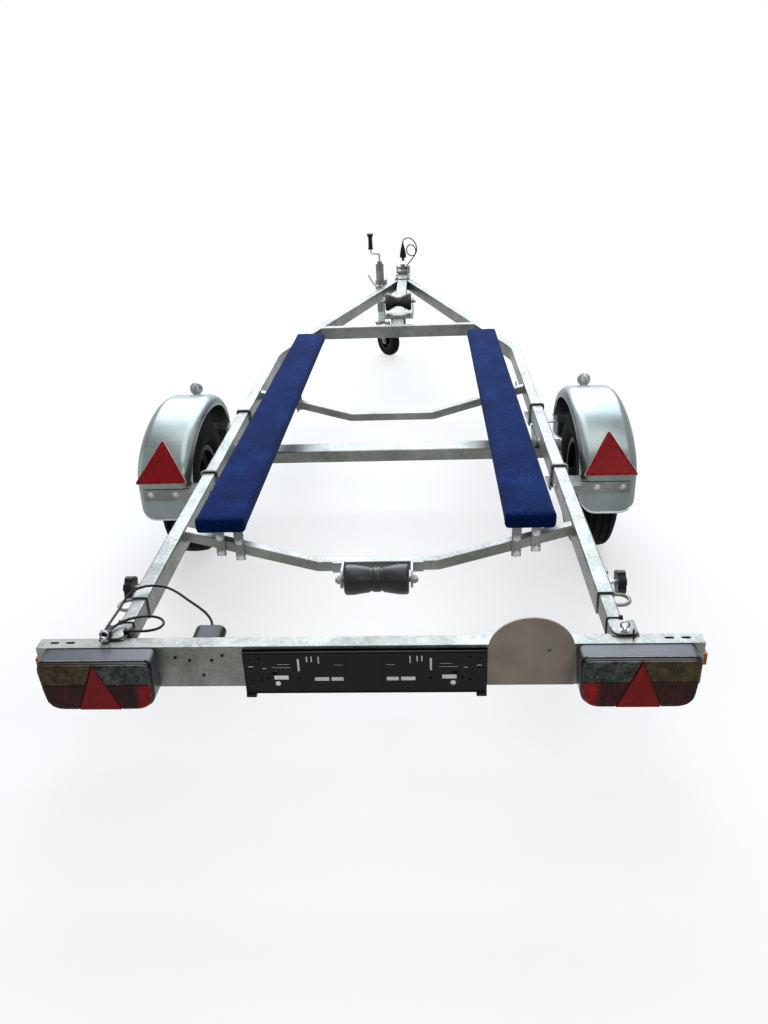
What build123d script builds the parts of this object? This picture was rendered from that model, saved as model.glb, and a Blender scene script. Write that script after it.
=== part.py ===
from build123d import *
import math
import os

# Small single-axle boat trailer, in millimetres.
# +Y points forward to the coupling, +X to the right, +Z up, and the ground is Z = 0.
# Stations along the trailer are measured from the rear face of the light board,
# and everything is moved by Y_MID at the end so that the whole is centred on Y = 0.

# ---- side rails and V arms -------------------------------------------------------------------
RAIL_W = 40.0
RAIL_H = 60.0
RAIL_WALL = 3.0
RAIL_CORNER = 5.0
RAIL_TOP = 436.0
RAIL_X = 546.0
RAIL_REAR_Y = 206.0
BEND_Y = 2330.0
BEND_R = 300.0
V_ANGLE = 16.8

# ---- drawbar and cross tubes ----------------------------------------------------------------
DRAWBAR_W = 60.0
CROSS_Y = 2810.0
CROSS_W = 40.0
DIP_SIZE = 30.0
DIP_WALL = 2.5
DIP_DEPTH = 102.0
DIP_FLAT = 165.0
DIP_BEND_R = 60.0
DIP_REAR_Y = 560.0
DIP_FRONT_Y = 1775.0

# ---- axle, swing arms and wheels -------------------------------------------------------------
AXLE_Y = 1400.0
AXLE_D = 80.0
AXLE_H = 45.0
AXLE_WALL = 4.0
AXLE_OVERHANG = 30.0
AXLE_HANGER_H = 40.0
AXLE_HANGER_L = 160.0
HANGER_T = 5.0
WHEEL_Y = 1300.0
TYRE_R = 245.0
TYRE_W = 138.0
TYRE_CORNER = 34.0
BEAD_R = 127.0
RIM_FLANGE_R = 139.0
RIM_T = 4.0
RIM_WIDTH = 104.0
DISC_OFFSET = 14.0
HUB_R = 47.0
HUB_CAP_R = 24.0
HUB_CAP_L = 26.0
PCD_R = 50.0
WHEEL_BOLTS = 4
SPINDLE_R = 14.0
SPINDLE_CLEARANCE = 0.05
ARM_T = 24.0
ARM_BOSS_R = 34.0
ARM_GAP = 6.0
TYRE_ARM_GAP = 16.0

# ---- mudguards -------------------------------------------------------------------------------
GUARD_OFFSET = 4.0
GUARD_W = 178.0
GUARD_T = 2.0
GUARD_HALF_L = 330.0
GUARD_RISE = 175.0
GUARD_SKIRT_TOP = 376.0
GUARD_SKIRT_BOTTOM = 264.0
GUARD_LIP = 13.0
GUARD_LIP_T = 3.0
CARRIER_LEG = 38.0
CARRIER_T = 4.0
CARRIER_PLATE_L = 80.0
CARRIER_TAB_H = 44.0
UBOLT_YS = {"rear": 950.0, "front": 1528.0}
UBOLT_R = 4.0
UBOLT_LEG_GAP = 0.4
NUT_H = 7.0
NUT_R = 7.5
TRIANGLE_SIDE = 155.0
TRIANGLE_T = 7.0
TRIANGLE_OFF = 1.0
TRIANGLE_DROP = 53.0
TRIANGLE_BOSS_R = 6.0
TRIANGLE_BOSS_YS = (-27.5, 38.0)
TRIANGLE_TILT = 36.0
MARKER_R = 30.0
MARKER_T = 22.0

# ---- bunks -----------------------------------------------------------------------------------
BUNK_X = 402.0
BUNK_W = 137.0
BUNK_T = 45.0
BUNK_CORNER = 14.0
BUNK_REAR_Y = 453.0
BUNK_FRONT_Y = 2500.0
BUNK_REAR_TOP = 515.0
BUNK_FRONT_TOP = 486.0
BUNK_GAP = 0.3
CLAMP_PLATE_W = 76.0
CLAMP_PLATE_T = 6.0
CLAMP_ANGLE_L = 50.0
CLAMP_BOLT_R = 5.0

# ---- keel roller at the rear and bow roller on the drawbar ------------------------------------
KEEL_Y = 475.0
KEEL_Z = 318.0
KEEL_R_END = 41.0
KEEL_R_MID = 29.0
KEEL_LEN = 172.0
KEEL_BAND = 24.0
ROLLER_BORE_R = 8.1
ROLLER_PIN_R = 8.0
ROLLER_SIDE_GAP = 5.0
KEEL_PLATE_T = 6.0
KEEL_PLATE_W = 46.0
BOW_Y = 3060.0
BOW_Z = 500.0
BOW_R_END = 46.0
BOW_R_MID = 25.0
BOW_LEN = 136.0
BOW_PLATE_T = 6.0
BOW_STRAP_Y = 2965.0

# ---- coupling --------------------------------------------------------------------------------
COUPLING_SADDLE = 156.0
COUPLING_PLATE_L = 120.0
COUPLING_PLATE_W = 92.0
COUPLING_PLATE_T = 6.0
BALL_Y = 4284.0
HEAD_REACH = 46.0
HEAD_NECK = 134.0
BALL_Z = 414.0
SOCKET_R = 25.2
SOCKET_DEPTH = 42.0
HEAD_R = 45.0
HEAD_TOP = 474.0
HEAD_BOTTOM = 396.0

# ---- jockey wheel ----------------------------------------------------------------------------
JOCKEY_X = -134.0
JOCKEY_Y = 3880.0
JOCKEY_R = 24.0
JOCKEY_WALL = 2.5
JOCKEY_BOTTOM = 268.0
JOCKEY_TOP = 560.0
LEG_CLEARANCE = 0.2
LEG_OVERLAP = 190.0
FORK_SWIVEL = 40.0
FORK_TRAIL = 60.0
FORK_CROWN_Z = 204.0
FORK_T = 5.0
JWHEEL_R = 95.0
JWHEEL_W = 46.0
JWHEEL_BORE_R = 8.06
JPIN_R = 8.0
CLAMP_RING_T = 7.0
CLAMP_BORE_GAP = 0.15
LEVER_R = 5.0
LEVER_SCREW_OFFSET = 12.0
CLAMP_Z = 406.0
CLAMP_H = 56.0
CRANK_R = 6.0
CRANK_RISE = 44.0
CRANK_THROW = 88.0
GRIP_R = 14.0
GRIP_L = 92.0

# ---- light board -----------------------------------------------------------------------------
BOARD_END = 15.0
BOARD_TOP = 436.0
BOARD_H = 104.0
BOARD_FLANGE = 35.0
BOARD_LOWER_FLANGE = 20.0
BOARD_T = 3.0
SLOT_INSETS = (70.0, 35.0)
SLOT_L = 20.0
SLOT_W = 8.0
ARM_TUBE_W = 32.0
ARM_TUBE_H = 50.0
ARM_TUBE_T = 2.5
ARM_TUBE_FRONT_Y = 700.0
BOARD_FIT = 1.0
LAMP_W = 252.0
LAMP_H = 123.0
LAMP_TOP = 434.0
LAMP_BODY_D = 44.0
LAMP_LENS_D = 14.0
LAMP_CORNER = 16.0
LENS_SPLIT = 0.46
PLATE_W = 522.0
PLATE_H = 110.0
PLATE_TOP = 428.0
PLATE_D = 8.0
ARCH_W = 183.0
ARCH_TOP = 503.0
ARCH_BOTTOM = 334.0
ARCH_T = 4.0
ARCH_HOLE_R = 5.0
ARCH_HOLE_X = 128.0
ARCH_HOLE_DROP = 80.0
JBOX_X = -352.0
JBOX_Y = 62.0
JBOX_Z = 412.0

# ---- hand wheels and lashing loops ------------------------------------------------------------
HANDWHEEL_Y = 300.0
HANDWHEEL_R = 30.0
HANDWHEEL_T = 20.0
SCREW_R = 6.0
SCREW_TIP_GAP = 0.4
LOOP_ROD_R = 4.5
LOOP_Y = 232.0
LOOP_REACH = 42.0
LOOP_W = 46.0

# ---- worked out from the sizes above -----------------------------------------------------------
AXLE_HALF = RAIL_X + RAIL_W / 2 + AXLE_OVERHANG
WHEEL_X = AXLE_HALF + ARM_T + TYRE_ARM_GAP + TYRE_W / 2
GUARD_X = WHEEL_X + GUARD_OFFSET
COUPLING_NOSE_Y = BALL_Y + HEAD_REACH
DRAWBAR_FRONT_Y = BALL_Y - HEAD_NECK
COUPLING_REAR_Y = DRAWBAR_FRONT_Y - COUPLING_SADDLE
PLATE_X0 = -PLATE_W / 2 - BOARD_FIT
ARCH_X0 = PLATE_X0 + PLATE_W + BOARD_FIT
LAMP_INNER = ARCH_X0 + ARCH_W + BOARD_FIT
BOARD_HALF = LAMP_INNER + LAMP_W + BOARD_END
SLOT_XS = tuple(BOARD_HALF - inset for inset in SLOT_INSETS)
RAIL_Z = RAIL_TOP - RAIL_H / 2
RAIL_BOTTOM = RAIL_TOP - RAIL_H
V_SLOPE = math.tan(math.radians(V_ANGLE))
V_APEX_Y = BEND_Y + RAIL_X / V_SLOPE
LAMP_D = LAMP_BODY_D + LAMP_LENS_D
Y_MID = (COUPLING_NOSE_Y - LAMP_D) / 2
AXLE_TOP = RAIL_BOTTOM - AXLE_HANGER_H
AXLE_Z = AXLE_TOP - AXLE_H / 2
BUNK_SLOPE = (BUNK_FRONT_TOP - BUNK_REAR_TOP) / (BUNK_FRONT_Y - BUNK_REAR_Y)
LEG_R = JOCKEY_R - JOCKEY_WALL - LEG_CLEARANCE
SIDES = {"left": -1, "right": 1}


def save(name, *shapes):
    """Centre the shapes along the trailer and write them as one STEP file."""
    moved = [Pos(0, -Y_MID, 0) * shape for shape in shapes]
    whole = moved[0] if len(moved) == 1 else Compound(children=moved)
    whole.label = name
    export_step(whole, f"parts/{name}.step")


def block(x0, x1, y0, y1, z0, z1):
    """A box between two corners."""
    return Pos((x0 + x1) / 2, (y0 + y1) / 2, (z0 + z1) / 2) * Box(x1 - x0, y1 - y0, z1 - z0)


def rod_x(x0, x1, y, z, r):
    """A round bar along X."""
    return Pos((x0 + x1) / 2, y, z) * Rot(0, 90, 0) * Cylinder(r, abs(x1 - x0))


def rod_y(x, y0, y1, z, r):
    """A round bar along Y."""
    return Pos(x, (y0 + y1) / 2, z) * Rot(90, 0, 0) * Cylinder(r, abs(y1 - y0))


def rod_z(x, y, z0, z1, r):
    """A round bar along Z."""
    return Pos(x, y, (z0 + z1) / 2) * Cylinder(r, abs(z1 - z0))


def hexagon_z(x, y, z0, z1, r):
    """A hexagon nut or bolt head along Z."""
    return Pos(x, y, z0) * extrude(RegularPolygon(r, 6), z1 - z0)


def hexagon_y(x, y0, y1, z, r):
    """A hexagon nut or bolt head along Y."""
    return Pos(x, y1, z) * Rot(90, 0, 0) * extrude(RegularPolygon(r, 6), y1 - y0)


def hexagon_x(x0, x1, y, z, r):
    """A hexagon nut or bolt head along X."""
    return Pos(x0, y, z) * Rot(0, 90, 0) * extrude(RegularPolygon(r, 6), x1 - x0)


def mirrored(shape, side):
    """The shape as drawn for the right side, or its mirror image for the left."""
    return shape if side > 0 else mirror(shape, Plane.YZ)


def tube_section(w, h, wall, corner):
    """A box section with rounded corners, as a face in a local plane."""
    inner = RectangleRounded(w - 2 * wall, h - 2 * wall, max(corner - wall, 1.0))
    return RectangleRounded(w, h, corner) - inner


def v_centre_x(y):
    """Distance of a V arm's centre line from the middle of the trailer."""
    return RAIL_X - (y - BEND_Y) * V_SLOPE


# ---- chassis ---------------------------------------------------------------------------------
def side_rail():
    """Right side rail: straight, a smooth bend, and the V arm mitred to the drawbar."""
    path = FilletPolyline(
        (RAIL_X, RAIL_REAR_Y, RAIL_Z),
        (RAIL_X, BEND_Y, RAIL_Z),
        (0, V_APEX_Y, RAIL_Z),
        radius=BEND_R,
    )
    plane = Plane(origin=(RAIL_X, RAIL_REAR_Y, RAIL_Z), x_dir=(1, 0, 0), z_dir=(0, 1, 0))
    solid = sweep(plane * tube_section(RAIL_W, RAIL_H, RAIL_WALL, RAIL_CORNER), path)
    back = V_APEX_Y - BEND_R * 2
    solid -= block(-RAIL_X, DRAWBAR_W / 2, back, V_APEX_Y + BEND_R, RAIL_BOTTOM - 1, RAIL_TOP + 1)
    screw_hole = rod_x(RAIL_X, RAIL_X + RAIL_W, HANDWHEEL_Y, RAIL_Z, SCREW_R + 0.3)
    return solid - screw_hole


def drawbar():
    """Centre tube from the front cross tube to the coupling."""
    y0 = CROSS_Y + CROSS_W / 2
    plane = Plane(origin=(0, y0, RAIL_Z), x_dir=(1, 0, 0), z_dir=(0, 1, 0))
    return extrude(plane * tube_section(DRAWBAR_W, RAIL_H, RAIL_WALL, RAIL_CORNER), DRAWBAR_FRONT_Y - y0)


def front_cross_tube():
    """Straight cross tube cut to the inner faces of the V arms."""
    half_face = RAIL_W / 2 / math.cos(math.radians(V_ANGLE))
    reach = v_centre_x(CROSS_Y)
    plane = Plane(origin=(-reach, CROSS_Y, RAIL_Z), x_dir=(0, 1, 0), z_dir=(1, 0, 0))
    tube = extrude(plane * tube_section(CROSS_W, RAIL_H, RAIL_WALL, RAIL_CORNER), 2 * reach)
    back, front = CROSS_Y - CROSS_W, CROSS_Y + CROSS_W
    inner = Polygon(
        (-v_centre_x(back) + half_face, back),
        (v_centre_x(back) - half_face, back),
        (v_centre_x(front) - half_face, front),
        (-v_centre_x(front) + half_face, front),
        align=None,
    )
    return tube & (Pos(0, 0, RAIL_BOTTOM - 5) * extrude(inner, RAIL_H + 10))


def dipped_cross_tube(y):
    """Square cross tube whose middle is lower than its ends."""
    end_x = RAIL_X - RAIL_W / 2
    z_end = RAIL_TOP - DIP_SIZE / 2
    z_mid = z_end - DIP_DEPTH
    path = FilletPolyline(
        (-end_x, y, z_end),
        (-DIP_FLAT, y, z_mid),
        (DIP_FLAT, y, z_mid),
        (end_x, y, z_end),
        radius=DIP_BEND_R,
    )
    start = Plane(origin=(-end_x, y, z_end), x_dir=(0, 1, 0), z_dir=path % 0)
    tube = sweep(start * tube_section(DIP_SIZE, DIP_SIZE, DIP_WALL, 3.5), path)
    inside = block(-end_x, end_x, y - DIP_SIZE, y + DIP_SIZE, z_mid - DIP_SIZE, RAIL_TOP)
    return tube & inside


def axle_beam():
    """Axle tube hung under the rails on two folded hangers."""
    plane = Plane(origin=(-AXLE_HALF, AXLE_Y, AXLE_Z), x_dir=(0, 1, 0), z_dir=(1, 0, 0))
    beam = extrude(plane * tube_section(AXLE_D, AXLE_H, AXLE_WALL, 6), 2 * AXLE_HALF)
    for side in SIDES.values():
        x0 = side * RAIL_X - RAIL_W / 2
        x1 = side * RAIL_X + RAIL_W / 2
        y0, y1 = AXLE_Y - AXLE_HANGER_L / 2, AXLE_Y + AXLE_HANGER_L / 2
        beam += block(x0, x1, y0, y1, RAIL_BOTTOM - HANGER_T, RAIL_BOTTOM)
        for x in (x0, x1 - HANGER_T):
            web = Polygon(
                (y0, RAIL_BOTTOM),
                (y1, RAIL_BOTTOM),
                (AXLE_Y + AXLE_D / 2, AXLE_TOP),
                (AXLE_Y - AXLE_D / 2, AXLE_TOP),
                align=None,
            )
            web_plane = Plane(origin=(x, 0, 0), x_dir=(0, 1, 0), z_dir=(1, 0, 0))
            beam += extrude(web_plane * web, HANGER_T)
    return beam


def swing_arm():
    """Right trailing arm with its stub axle, seated on the end of the axle beam."""
    x0 = AXLE_HALF
    x1 = x0 + ARM_T
    shape = rod_x(x0, x1, AXLE_Y, AXLE_Z, ARM_BOSS_R)
    shape += rod_x(x0, x1, WHEEL_Y, TYRE_R, ARM_BOSS_R - 6)
    length = math.hypot(AXLE_Y - WHEEL_Y, AXLE_Z - TYRE_R)
    tilt = math.degrees(math.atan2(AXLE_Z - TYRE_R, AXLE_Y - WHEEL_Y))
    web = Box(ARM_T, length, 2 * ARM_BOSS_R - 22)
    middle = Pos((x0 + x1) / 2, (AXLE_Y + WHEEL_Y) / 2, (AXLE_Z + TYRE_R) / 2)
    shape += middle * Rot(tilt, 0, 0) * web
    shape += rod_x(x1, WHEEL_X + DISC_OFFSET + 18, WHEEL_Y, TYRE_R, SPINDLE_R)
    shape += rod_x(x1, x1 + ARM_GAP / 2, WHEEL_Y, TYRE_R, SPINDLE_R + 5)
    return shape


def tyre():
    """Road tyre as one revolved solid with a rounded shoulder and an inner bead seat."""
    half = TYRE_W / 2
    bead_half = RIM_WIDTH / 2 - RIM_T - 1
    with BuildPart() as part:
        with BuildSketch(Plane.XY):
            with BuildLine():
                Polyline(
                    (-bead_half, BEAD_R),
                    (-bead_half, RIM_FLANGE_R + 2),
                    (-half, BEAD_R + 46),
                    (-half + 6, TYRE_R - TYRE_CORNER),
                    (-half + TYRE_CORNER, TYRE_R),
                    (half - TYRE_CORNER, TYRE_R),
                    (half - 6, TYRE_R - TYRE_CORNER),
                    (half, BEAD_R + 46),
                    (bead_half, RIM_FLANGE_R + 2),
                    (bead_half, BEAD_R),
                    close=True,
                )
            make_face()
        revolve(axis=Axis.X)
    return Pos(WHEEL_X, WHEEL_Y, TYRE_R) * part.part


def rim():
    """Pressed steel rim: flanges, drop well, dished disc with hand holes, hub and cap."""
    half = RIM_WIDTH / 2
    seat = BEAD_R
    well = seat - 20
    profile = Polygon(
        (-half, RIM_FLANGE_R),
        (-half + RIM_T, RIM_FLANGE_R),
        (-half + RIM_T, seat),
        (-half + 26, seat),
        (-half + 34, well),
        (half - 34, well),
        (half - 26, seat),
        (half - RIM_T, seat),
        (half - RIM_T, RIM_FLANGE_R),
        (half, RIM_FLANGE_R),
        (half, seat - RIM_T),
        (half - 24, seat - RIM_T),
        (half - 32, well - RIM_T),
        (-half + 32, well - RIM_T),
        (-half + 24, seat - RIM_T),
        (-half, seat - RIM_T),
        align=None,
    )
    band = revolve(Plane.XY * profile, Axis.X)
    dish = Polygon(
        (DISC_OFFSET, 0),
        (DISC_OFFSET, HUB_R + 12),
        (DISC_OFFSET - 14, HUB_R + 36),
        (DISC_OFFSET - 14, well - RIM_T),
        (DISC_OFFSET - 9, well - RIM_T),
        (DISC_OFFSET - 9, HUB_R + 36),
        (DISC_OFFSET + 5, HUB_R + 12),
        (DISC_OFFSET + 5, 0),
        align=None,
    )
    disc = revolve(Plane.XY * dish, Axis.X)
    hole_ring = HUB_R + 38
    for step in range(8):
        angle = math.radians(45 * step + 22.5)
        y, z = hole_ring * math.cos(angle), hole_ring * math.sin(angle)
        disc -= rod_x(-60, 60, y, z, 8)
    hub_back = AXLE_HALF + ARM_T + ARM_GAP - WHEEL_X
    hub = rod_x(hub_back, DISC_OFFSET, 0, 0, HUB_R - 14)
    hub += rod_x(DISC_OFFSET - 12, DISC_OFFSET, 0, 0, HUB_R + 10)
    hub += rod_x(DISC_OFFSET, DISC_OFFSET + 5 + HUB_CAP_L, 0, 0, HUB_CAP_R)
    for step in range(WHEEL_BOLTS):
        angle = math.radians(90 * step + 45)
        y, z = PCD_R * math.cos(angle), PCD_R * math.sin(angle)
        hub += hexagon_x(DISC_OFFSET + 5, DISC_OFFSET + 17, y, z, 10)
    whole = band + disc + hub
    bore = rod_x(hub_back - 5, DISC_OFFSET + 18.5, 0, 0, SPINDLE_R + SPINDLE_CLEARANCE)
    return Pos(WHEEL_X, WHEEL_Y, TYRE_R) * (whole - bore)


# ---- mudguards -------------------------------------------------------------------------------
def guard_outline(inset):
    """Side outline of the guard: an elliptical arch on two straight skirts."""
    a, b = GUARD_HALF_L - inset, GUARD_RISE - inset
    z0, z1 = GUARD_SKIRT_BOTTOM, GUARD_SKIRT_TOP
    with BuildSketch(Plane.YZ) as sketch:
        with BuildLine():
            EllipticalCenterArc((WHEEL_Y, z1), a, b, start_angle=0, arc_size=180)
            Line((WHEEL_Y - a, z1), (WHEEL_Y - a, z0))
            Line((WHEEL_Y - a, z0), (WHEEL_Y + a, z0))
            Line((WHEEL_Y + a, z0), (WHEEL_Y + a, z1))
        make_face()
    return sketch.sketch


def guard_band(inset, depth):
    """A strip of the guard's outline of the given depth, as a face."""
    return guard_outline(inset) - guard_outline(inset + depth)


def mudguard():
    """Right mudguard: arched sheet with a rolled lip down each edge."""
    x0 = GUARD_X - GUARD_W / 2
    shell = Pos(x0, 0, 0) * extrude(guard_band(0, GUARD_T), GUARD_W, dir=(1, 0, 0))
    lip = extrude(guard_band(0, GUARD_LIP), GUARD_LIP_T, dir=(1, 0, 0))
    shell += Pos(x0, 0, 0) * lip
    shell += Pos(x0 + GUARD_W - GUARD_LIP_T, 0, 0) * lip
    notch_z = (RAIL_BOTTOM - CARRIER_T - 0.5, RAIL_BOTTOM + 0.5)
    for y in (WHEEL_Y - GUARD_HALF_L, WHEEL_Y + GUARD_HALF_L):
        notch = block(x0 - 1, x0 + GUARD_LIP_T + 0.5, y - GUARD_LIP - 1, y + GUARD_LIP + 1, *notch_z)
        keep = block(x0 - 2, x0 + 10, y - GUARD_T, y + GUARD_T, notch_z[0] - 1, notch_z[1] + 1)
        shell -= notch - keep
    for x in (GUARD_X - 45, GUARD_X + 45):
        for y in (WHEEL_Y - GUARD_HALF_L - 4.5, WHEEL_Y + GUARD_HALF_L):
            shell += hexagon_y(x, y, y + 4.5, RAIL_BOTTOM - 26, 7)
    return shell


def guard_carrier():
    """Right carriers: a clamp plate and U-bolt on the rail and an angle out to each skirt."""
    shape = u_bolt(UBOLT_YS["rear"]) + u_bolt(UBOLT_YS["front"])
    x_in = RAIL_X - RAIL_W / 2 - 14
    x_out = GUARD_X + 64
    for name, direction in (("rear", 1), ("front", -1)):
        skirt = WHEEL_Y - direction * (GUARD_HALF_L - GUARD_T)
        y_leg = skirt + direction * CARRIER_LEG
        ubolt = UBOLT_YS[name]
        y0, y1 = min(ubolt - 20, y_leg, skirt), max(ubolt + 20, y_leg, skirt)
        plate_out = GUARD_X - GUARD_W / 2 - 5
        one = block(x_in, plate_out, y0, y1, RAIL_BOTTOM - CARRIER_T, RAIL_BOTTOM)
        ya, yb = min(skirt, y_leg), max(skirt, y_leg)
        tab_y = (skirt, skirt + direction * CARRIER_T)
        z_leg = RAIL_BOTTOM - CARRIER_T
        one += block(plate_out, x_out, ya, yb, z_leg, RAIL_BOTTOM)
        one += block(GUARD_X - GUARD_W / 2 + GUARD_LIP_T + 1, x_out, min(tab_y), max(tab_y),
                     RAIL_BOTTOM - CARRIER_TAB_H, RAIL_BOTTOM)
        for x in (RAIL_X - RAIL_W / 2 - UBOLT_R - UBOLT_LEG_GAP, RAIL_X + RAIL_W / 2 + UBOLT_R + UBOLT_LEG_GAP):
            one -= rod_z(x, ubolt, RAIL_BOTTOM - 20, RAIL_BOTTOM + 5, UBOLT_R)
        shape += one
    return shape


def u_bolt(y):
    """Right U-bolt over the rail, with its two nuts under the carrier."""
    gap = UBOLT_R + UBOLT_LEG_GAP
    x0 = RAIL_X - RAIL_W / 2 - gap
    x1 = RAIL_X + RAIL_W / 2 + gap
    top = RAIL_TOP + gap
    foot = RAIL_BOTTOM - CARRIER_T - NUT_H - 9
    path = FilletPolyline((x0, y, foot), (x0, y, top), (x1, y, top), (x1, y, foot), radius=9)
    profile = Plane(origin=(x0, y, foot), z_dir=(0, 0, 1)) * Circle(UBOLT_R)
    shape = sweep(profile, path)
    for x in (x0, x1):
        shape += hexagon_z(x, y, RAIL_BOTTOM - CARRIER_T - NUT_H, RAIL_BOTTOM - CARRIER_T, NUT_R)
    return shape


def warning_triangle():
    """Right triangle reflector: a flat plate just off the guard's curve, on two short bosses."""
    height = TRIANGLE_SIDE * math.sqrt(3) / 2
    half = TRIANGLE_SIDE / 2
    face = Polygon((-half, 0), (half, 0), (0, height), align=None)
    face = Pos(0, -TRIANGLE_DROP, 0) * fillet(face.vertices(), 8)
    plate = Pos(0, 0, TRIANGLE_OFF) * extrude(face, TRIANGLE_T)
    for y in TRIANGLE_BOSS_YS:
        plate += rod_z(0, y, -GUARD_LIP, TRIANGLE_OFF + TRIANGLE_T / 2, TRIANGLE_BOSS_R)
    touch = math.atan(GUARD_RISE / GUARD_HALF_L * math.tan(math.radians(TRIANGLE_TILT)))
    y_touch = WHEEL_Y - GUARD_HALF_L * math.cos(touch)
    z_touch = GUARD_SKIRT_TOP + GUARD_RISE * math.sin(touch)
    x0 = GUARD_X - GUARD_W / 2
    body = Pos(x0, 0, 0) * extrude(guard_outline(0), GUARD_W, dir=(1, 0, 0))
    return Pos(GUARD_X, y_touch, z_touch) * Rot(90 - TRIANGLE_TILT, 0, 0) * plate - body


def marker_lamp():
    """Right front marker lamp: a round body on the front curve of the guard."""
    angle = math.radians(52)
    y = WHEEL_Y + GUARD_HALF_L * math.cos(angle)
    z = GUARD_SKIRT_TOP + GUARD_RISE * math.sin(angle)
    normal = math.degrees(math.atan2(math.sin(angle) / GUARD_RISE, math.cos(angle) / GUARD_HALF_L))
    x0 = GUARD_X - GUARD_W / 2 - 20
    body = Pos(x0, 0, 0) * extrude(guard_outline(0), GUARD_W + 40, dir=(1, 0, 0))
    puck = Cylinder(MARKER_R, 2 * MARKER_T)
    puck = fillet(puck.edges().filter_by(GeomType.CIRCLE).group_by(Axis.Z)[-1], 6)
    return Pos(GUARD_X, y, z) * Rot(-(90 - normal), 0, 0) * puck - body


# ---- bunks -----------------------------------------------------------------------------------
def bunk_top(y):
    """Height of the bunk's top at a station."""
    return BUNK_REAR_TOP + (y - BUNK_REAR_Y) * BUNK_SLOPE


def bunk():
    """Right bunk board with its carpet, corners rounded."""
    length = math.hypot(BUNK_FRONT_Y - BUNK_REAR_Y, BUNK_FRONT_TOP - BUNK_REAR_TOP)
    tilt = math.degrees(math.atan(BUNK_SLOPE))
    board = Box(BUNK_W, length, BUNK_T)
    board = fillet(board.edges().filter_by(Axis.Z), BUNK_CORNER)
    board = fillet(board.edges().group_by(Axis.Z)[-1], 6)
    mid_y = (BUNK_REAR_Y + BUNK_FRONT_Y) / 2
    return Pos(BUNK_X, mid_y, bunk_top(mid_y) - BUNK_T / 2) * Rot(tilt, 0, 0) * board


def dip_top(x):
    """Height of a dipped tube's upper face at a distance from the middle."""
    end_x = RAIL_X - RAIL_W / 2
    slope = DIP_DEPTH / (end_x - DIP_FLAT)
    z_centre = RAIL_TOP - DIP_SIZE / 2 - (end_x - x) * slope
    return z_centre + DIP_SIZE / 2 / math.cos(math.atan(slope))


def bunk_clamp(dip_y, direction):
    """Right bunk clamp: an upright plate on a dipped tube's face and a seat under the board."""
    y_face = dip_y + direction * DIP_SIZE / 2
    y_out = y_face + direction * CLAMP_PLATE_T
    y0, y1 = min(y_face, y_out), max(y_face, y_out)
    seat_end = y_face + direction * CLAMP_ANGLE_L
    seat_ys = (y_face, seat_end)
    seat_z = min(bunk_top(y) for y in seat_ys) - BUNK_T / math.cos(math.atan(BUNK_SLOPE)) - BUNK_GAP
    x0, x1 = BUNK_X - CLAMP_PLATE_W / 2, BUNK_X + CLAMP_PLATE_W / 2
    slope = DIP_DEPTH / (RAIL_X - RAIL_W / 2 - DIP_FLAT)
    z_low = dip_top(x0) - DIP_SIZE - 22
    plate = block(x0, x1, y0, y1, z_low, seat_z)
    seat = block(x0, x1, min(seat_ys), max(seat_ys), seat_z - CLAMP_PLATE_T, seat_z)
    shape = plate + seat
    back = dip_y - direction * DIP_SIZE / 2
    for x in (x0 + 12, x1 - 12):
        z_bolt = dip_top(x) - DIP_SIZE * 1.04 - CLAMP_BOLT_R - 2
        ends = sorted((back - direction * 10, y_out + direction * 7))
        shape += rod_y(x, ends[0], ends[1], z_bolt, CLAMP_BOLT_R)
        z_up = dip_top(x) + CLAMP_BOLT_R + 2
        shape += rod_y(x, ends[0], ends[1], z_up, CLAMP_BOLT_R)
    return shape


def bunk_clamps():
    """Right bunk's clamps, one on each dipped tube."""
    return bunk_clamp(DIP_REAR_Y, -1) + bunk_clamp(DIP_FRONT_Y, 1)


# ---- rollers ---------------------------------------------------------------------------------
def keel_roller():
    """Rubber keel roller: two cones that narrow to a grooved middle band."""
    half, band = KEEL_LEN / 2, KEEL_BAND / 2
    profile = Polygon(
        (-half, ROLLER_BORE_R), (-half, KEEL_R_END - 6), (-half + 6, KEEL_R_END),
        (-half + 20, KEEL_R_END), (-band - 6, KEEL_R_MID), (-band, KEEL_R_MID + 3),
        (band, KEEL_R_MID + 3), (band + 6, KEEL_R_MID), (half - 20, KEEL_R_END),
        (half - 6, KEEL_R_END), (half, KEEL_R_END - 6), (half, ROLLER_BORE_R),
        align=None,
    )
    return Pos(0, KEEL_Y, KEEL_Z) * revolve(Plane.XY * profile, Axis.X)


def keel_bracket():
    """Two flat plates on the rear dipped tube and the through bolt that carries the roller."""
    x_in = KEEL_LEN / 2 + ROLLER_SIDE_GAP
    tube_back = DIP_REAR_Y - DIP_SIZE / 2
    z_mid = RAIL_TOP - DIP_SIZE / 2 - DIP_DEPTH
    shape = rod_x(-x_in - KEEL_PLATE_T - 14, x_in + KEEL_PLATE_T + 14, KEEL_Y, KEEL_Z, ROLLER_PIN_R)
    for side in SIDES.values():
        x0, x1 = sorted((side * x_in, side * (x_in + KEEL_PLATE_T)))
        plate = block(x0, x1, KEEL_Y, tube_back, z_mid - DIP_SIZE / 2, z_mid + DIP_SIZE / 2 + 8)
        plate += rod_x(x0, x1, KEEL_Y, KEEL_Z, KEEL_PLATE_W / 2)
        shape += plate
        foot = sorted((side * x_in, side * (x_in + 34)))
        z0, z1 = z_mid - DIP_SIZE / 2, z_mid + DIP_SIZE / 2
        shape += block(foot[0], foot[1], tube_back - KEEL_PLATE_T, tube_back, z0, z1)
        nut = sorted((side * (x_in + KEEL_PLATE_T), side * (x_in + KEEL_PLATE_T + 9)))
        shape += hexagon_x(nut[0], nut[1], KEEL_Y, KEEL_Z, 13)
    return shape


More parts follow.
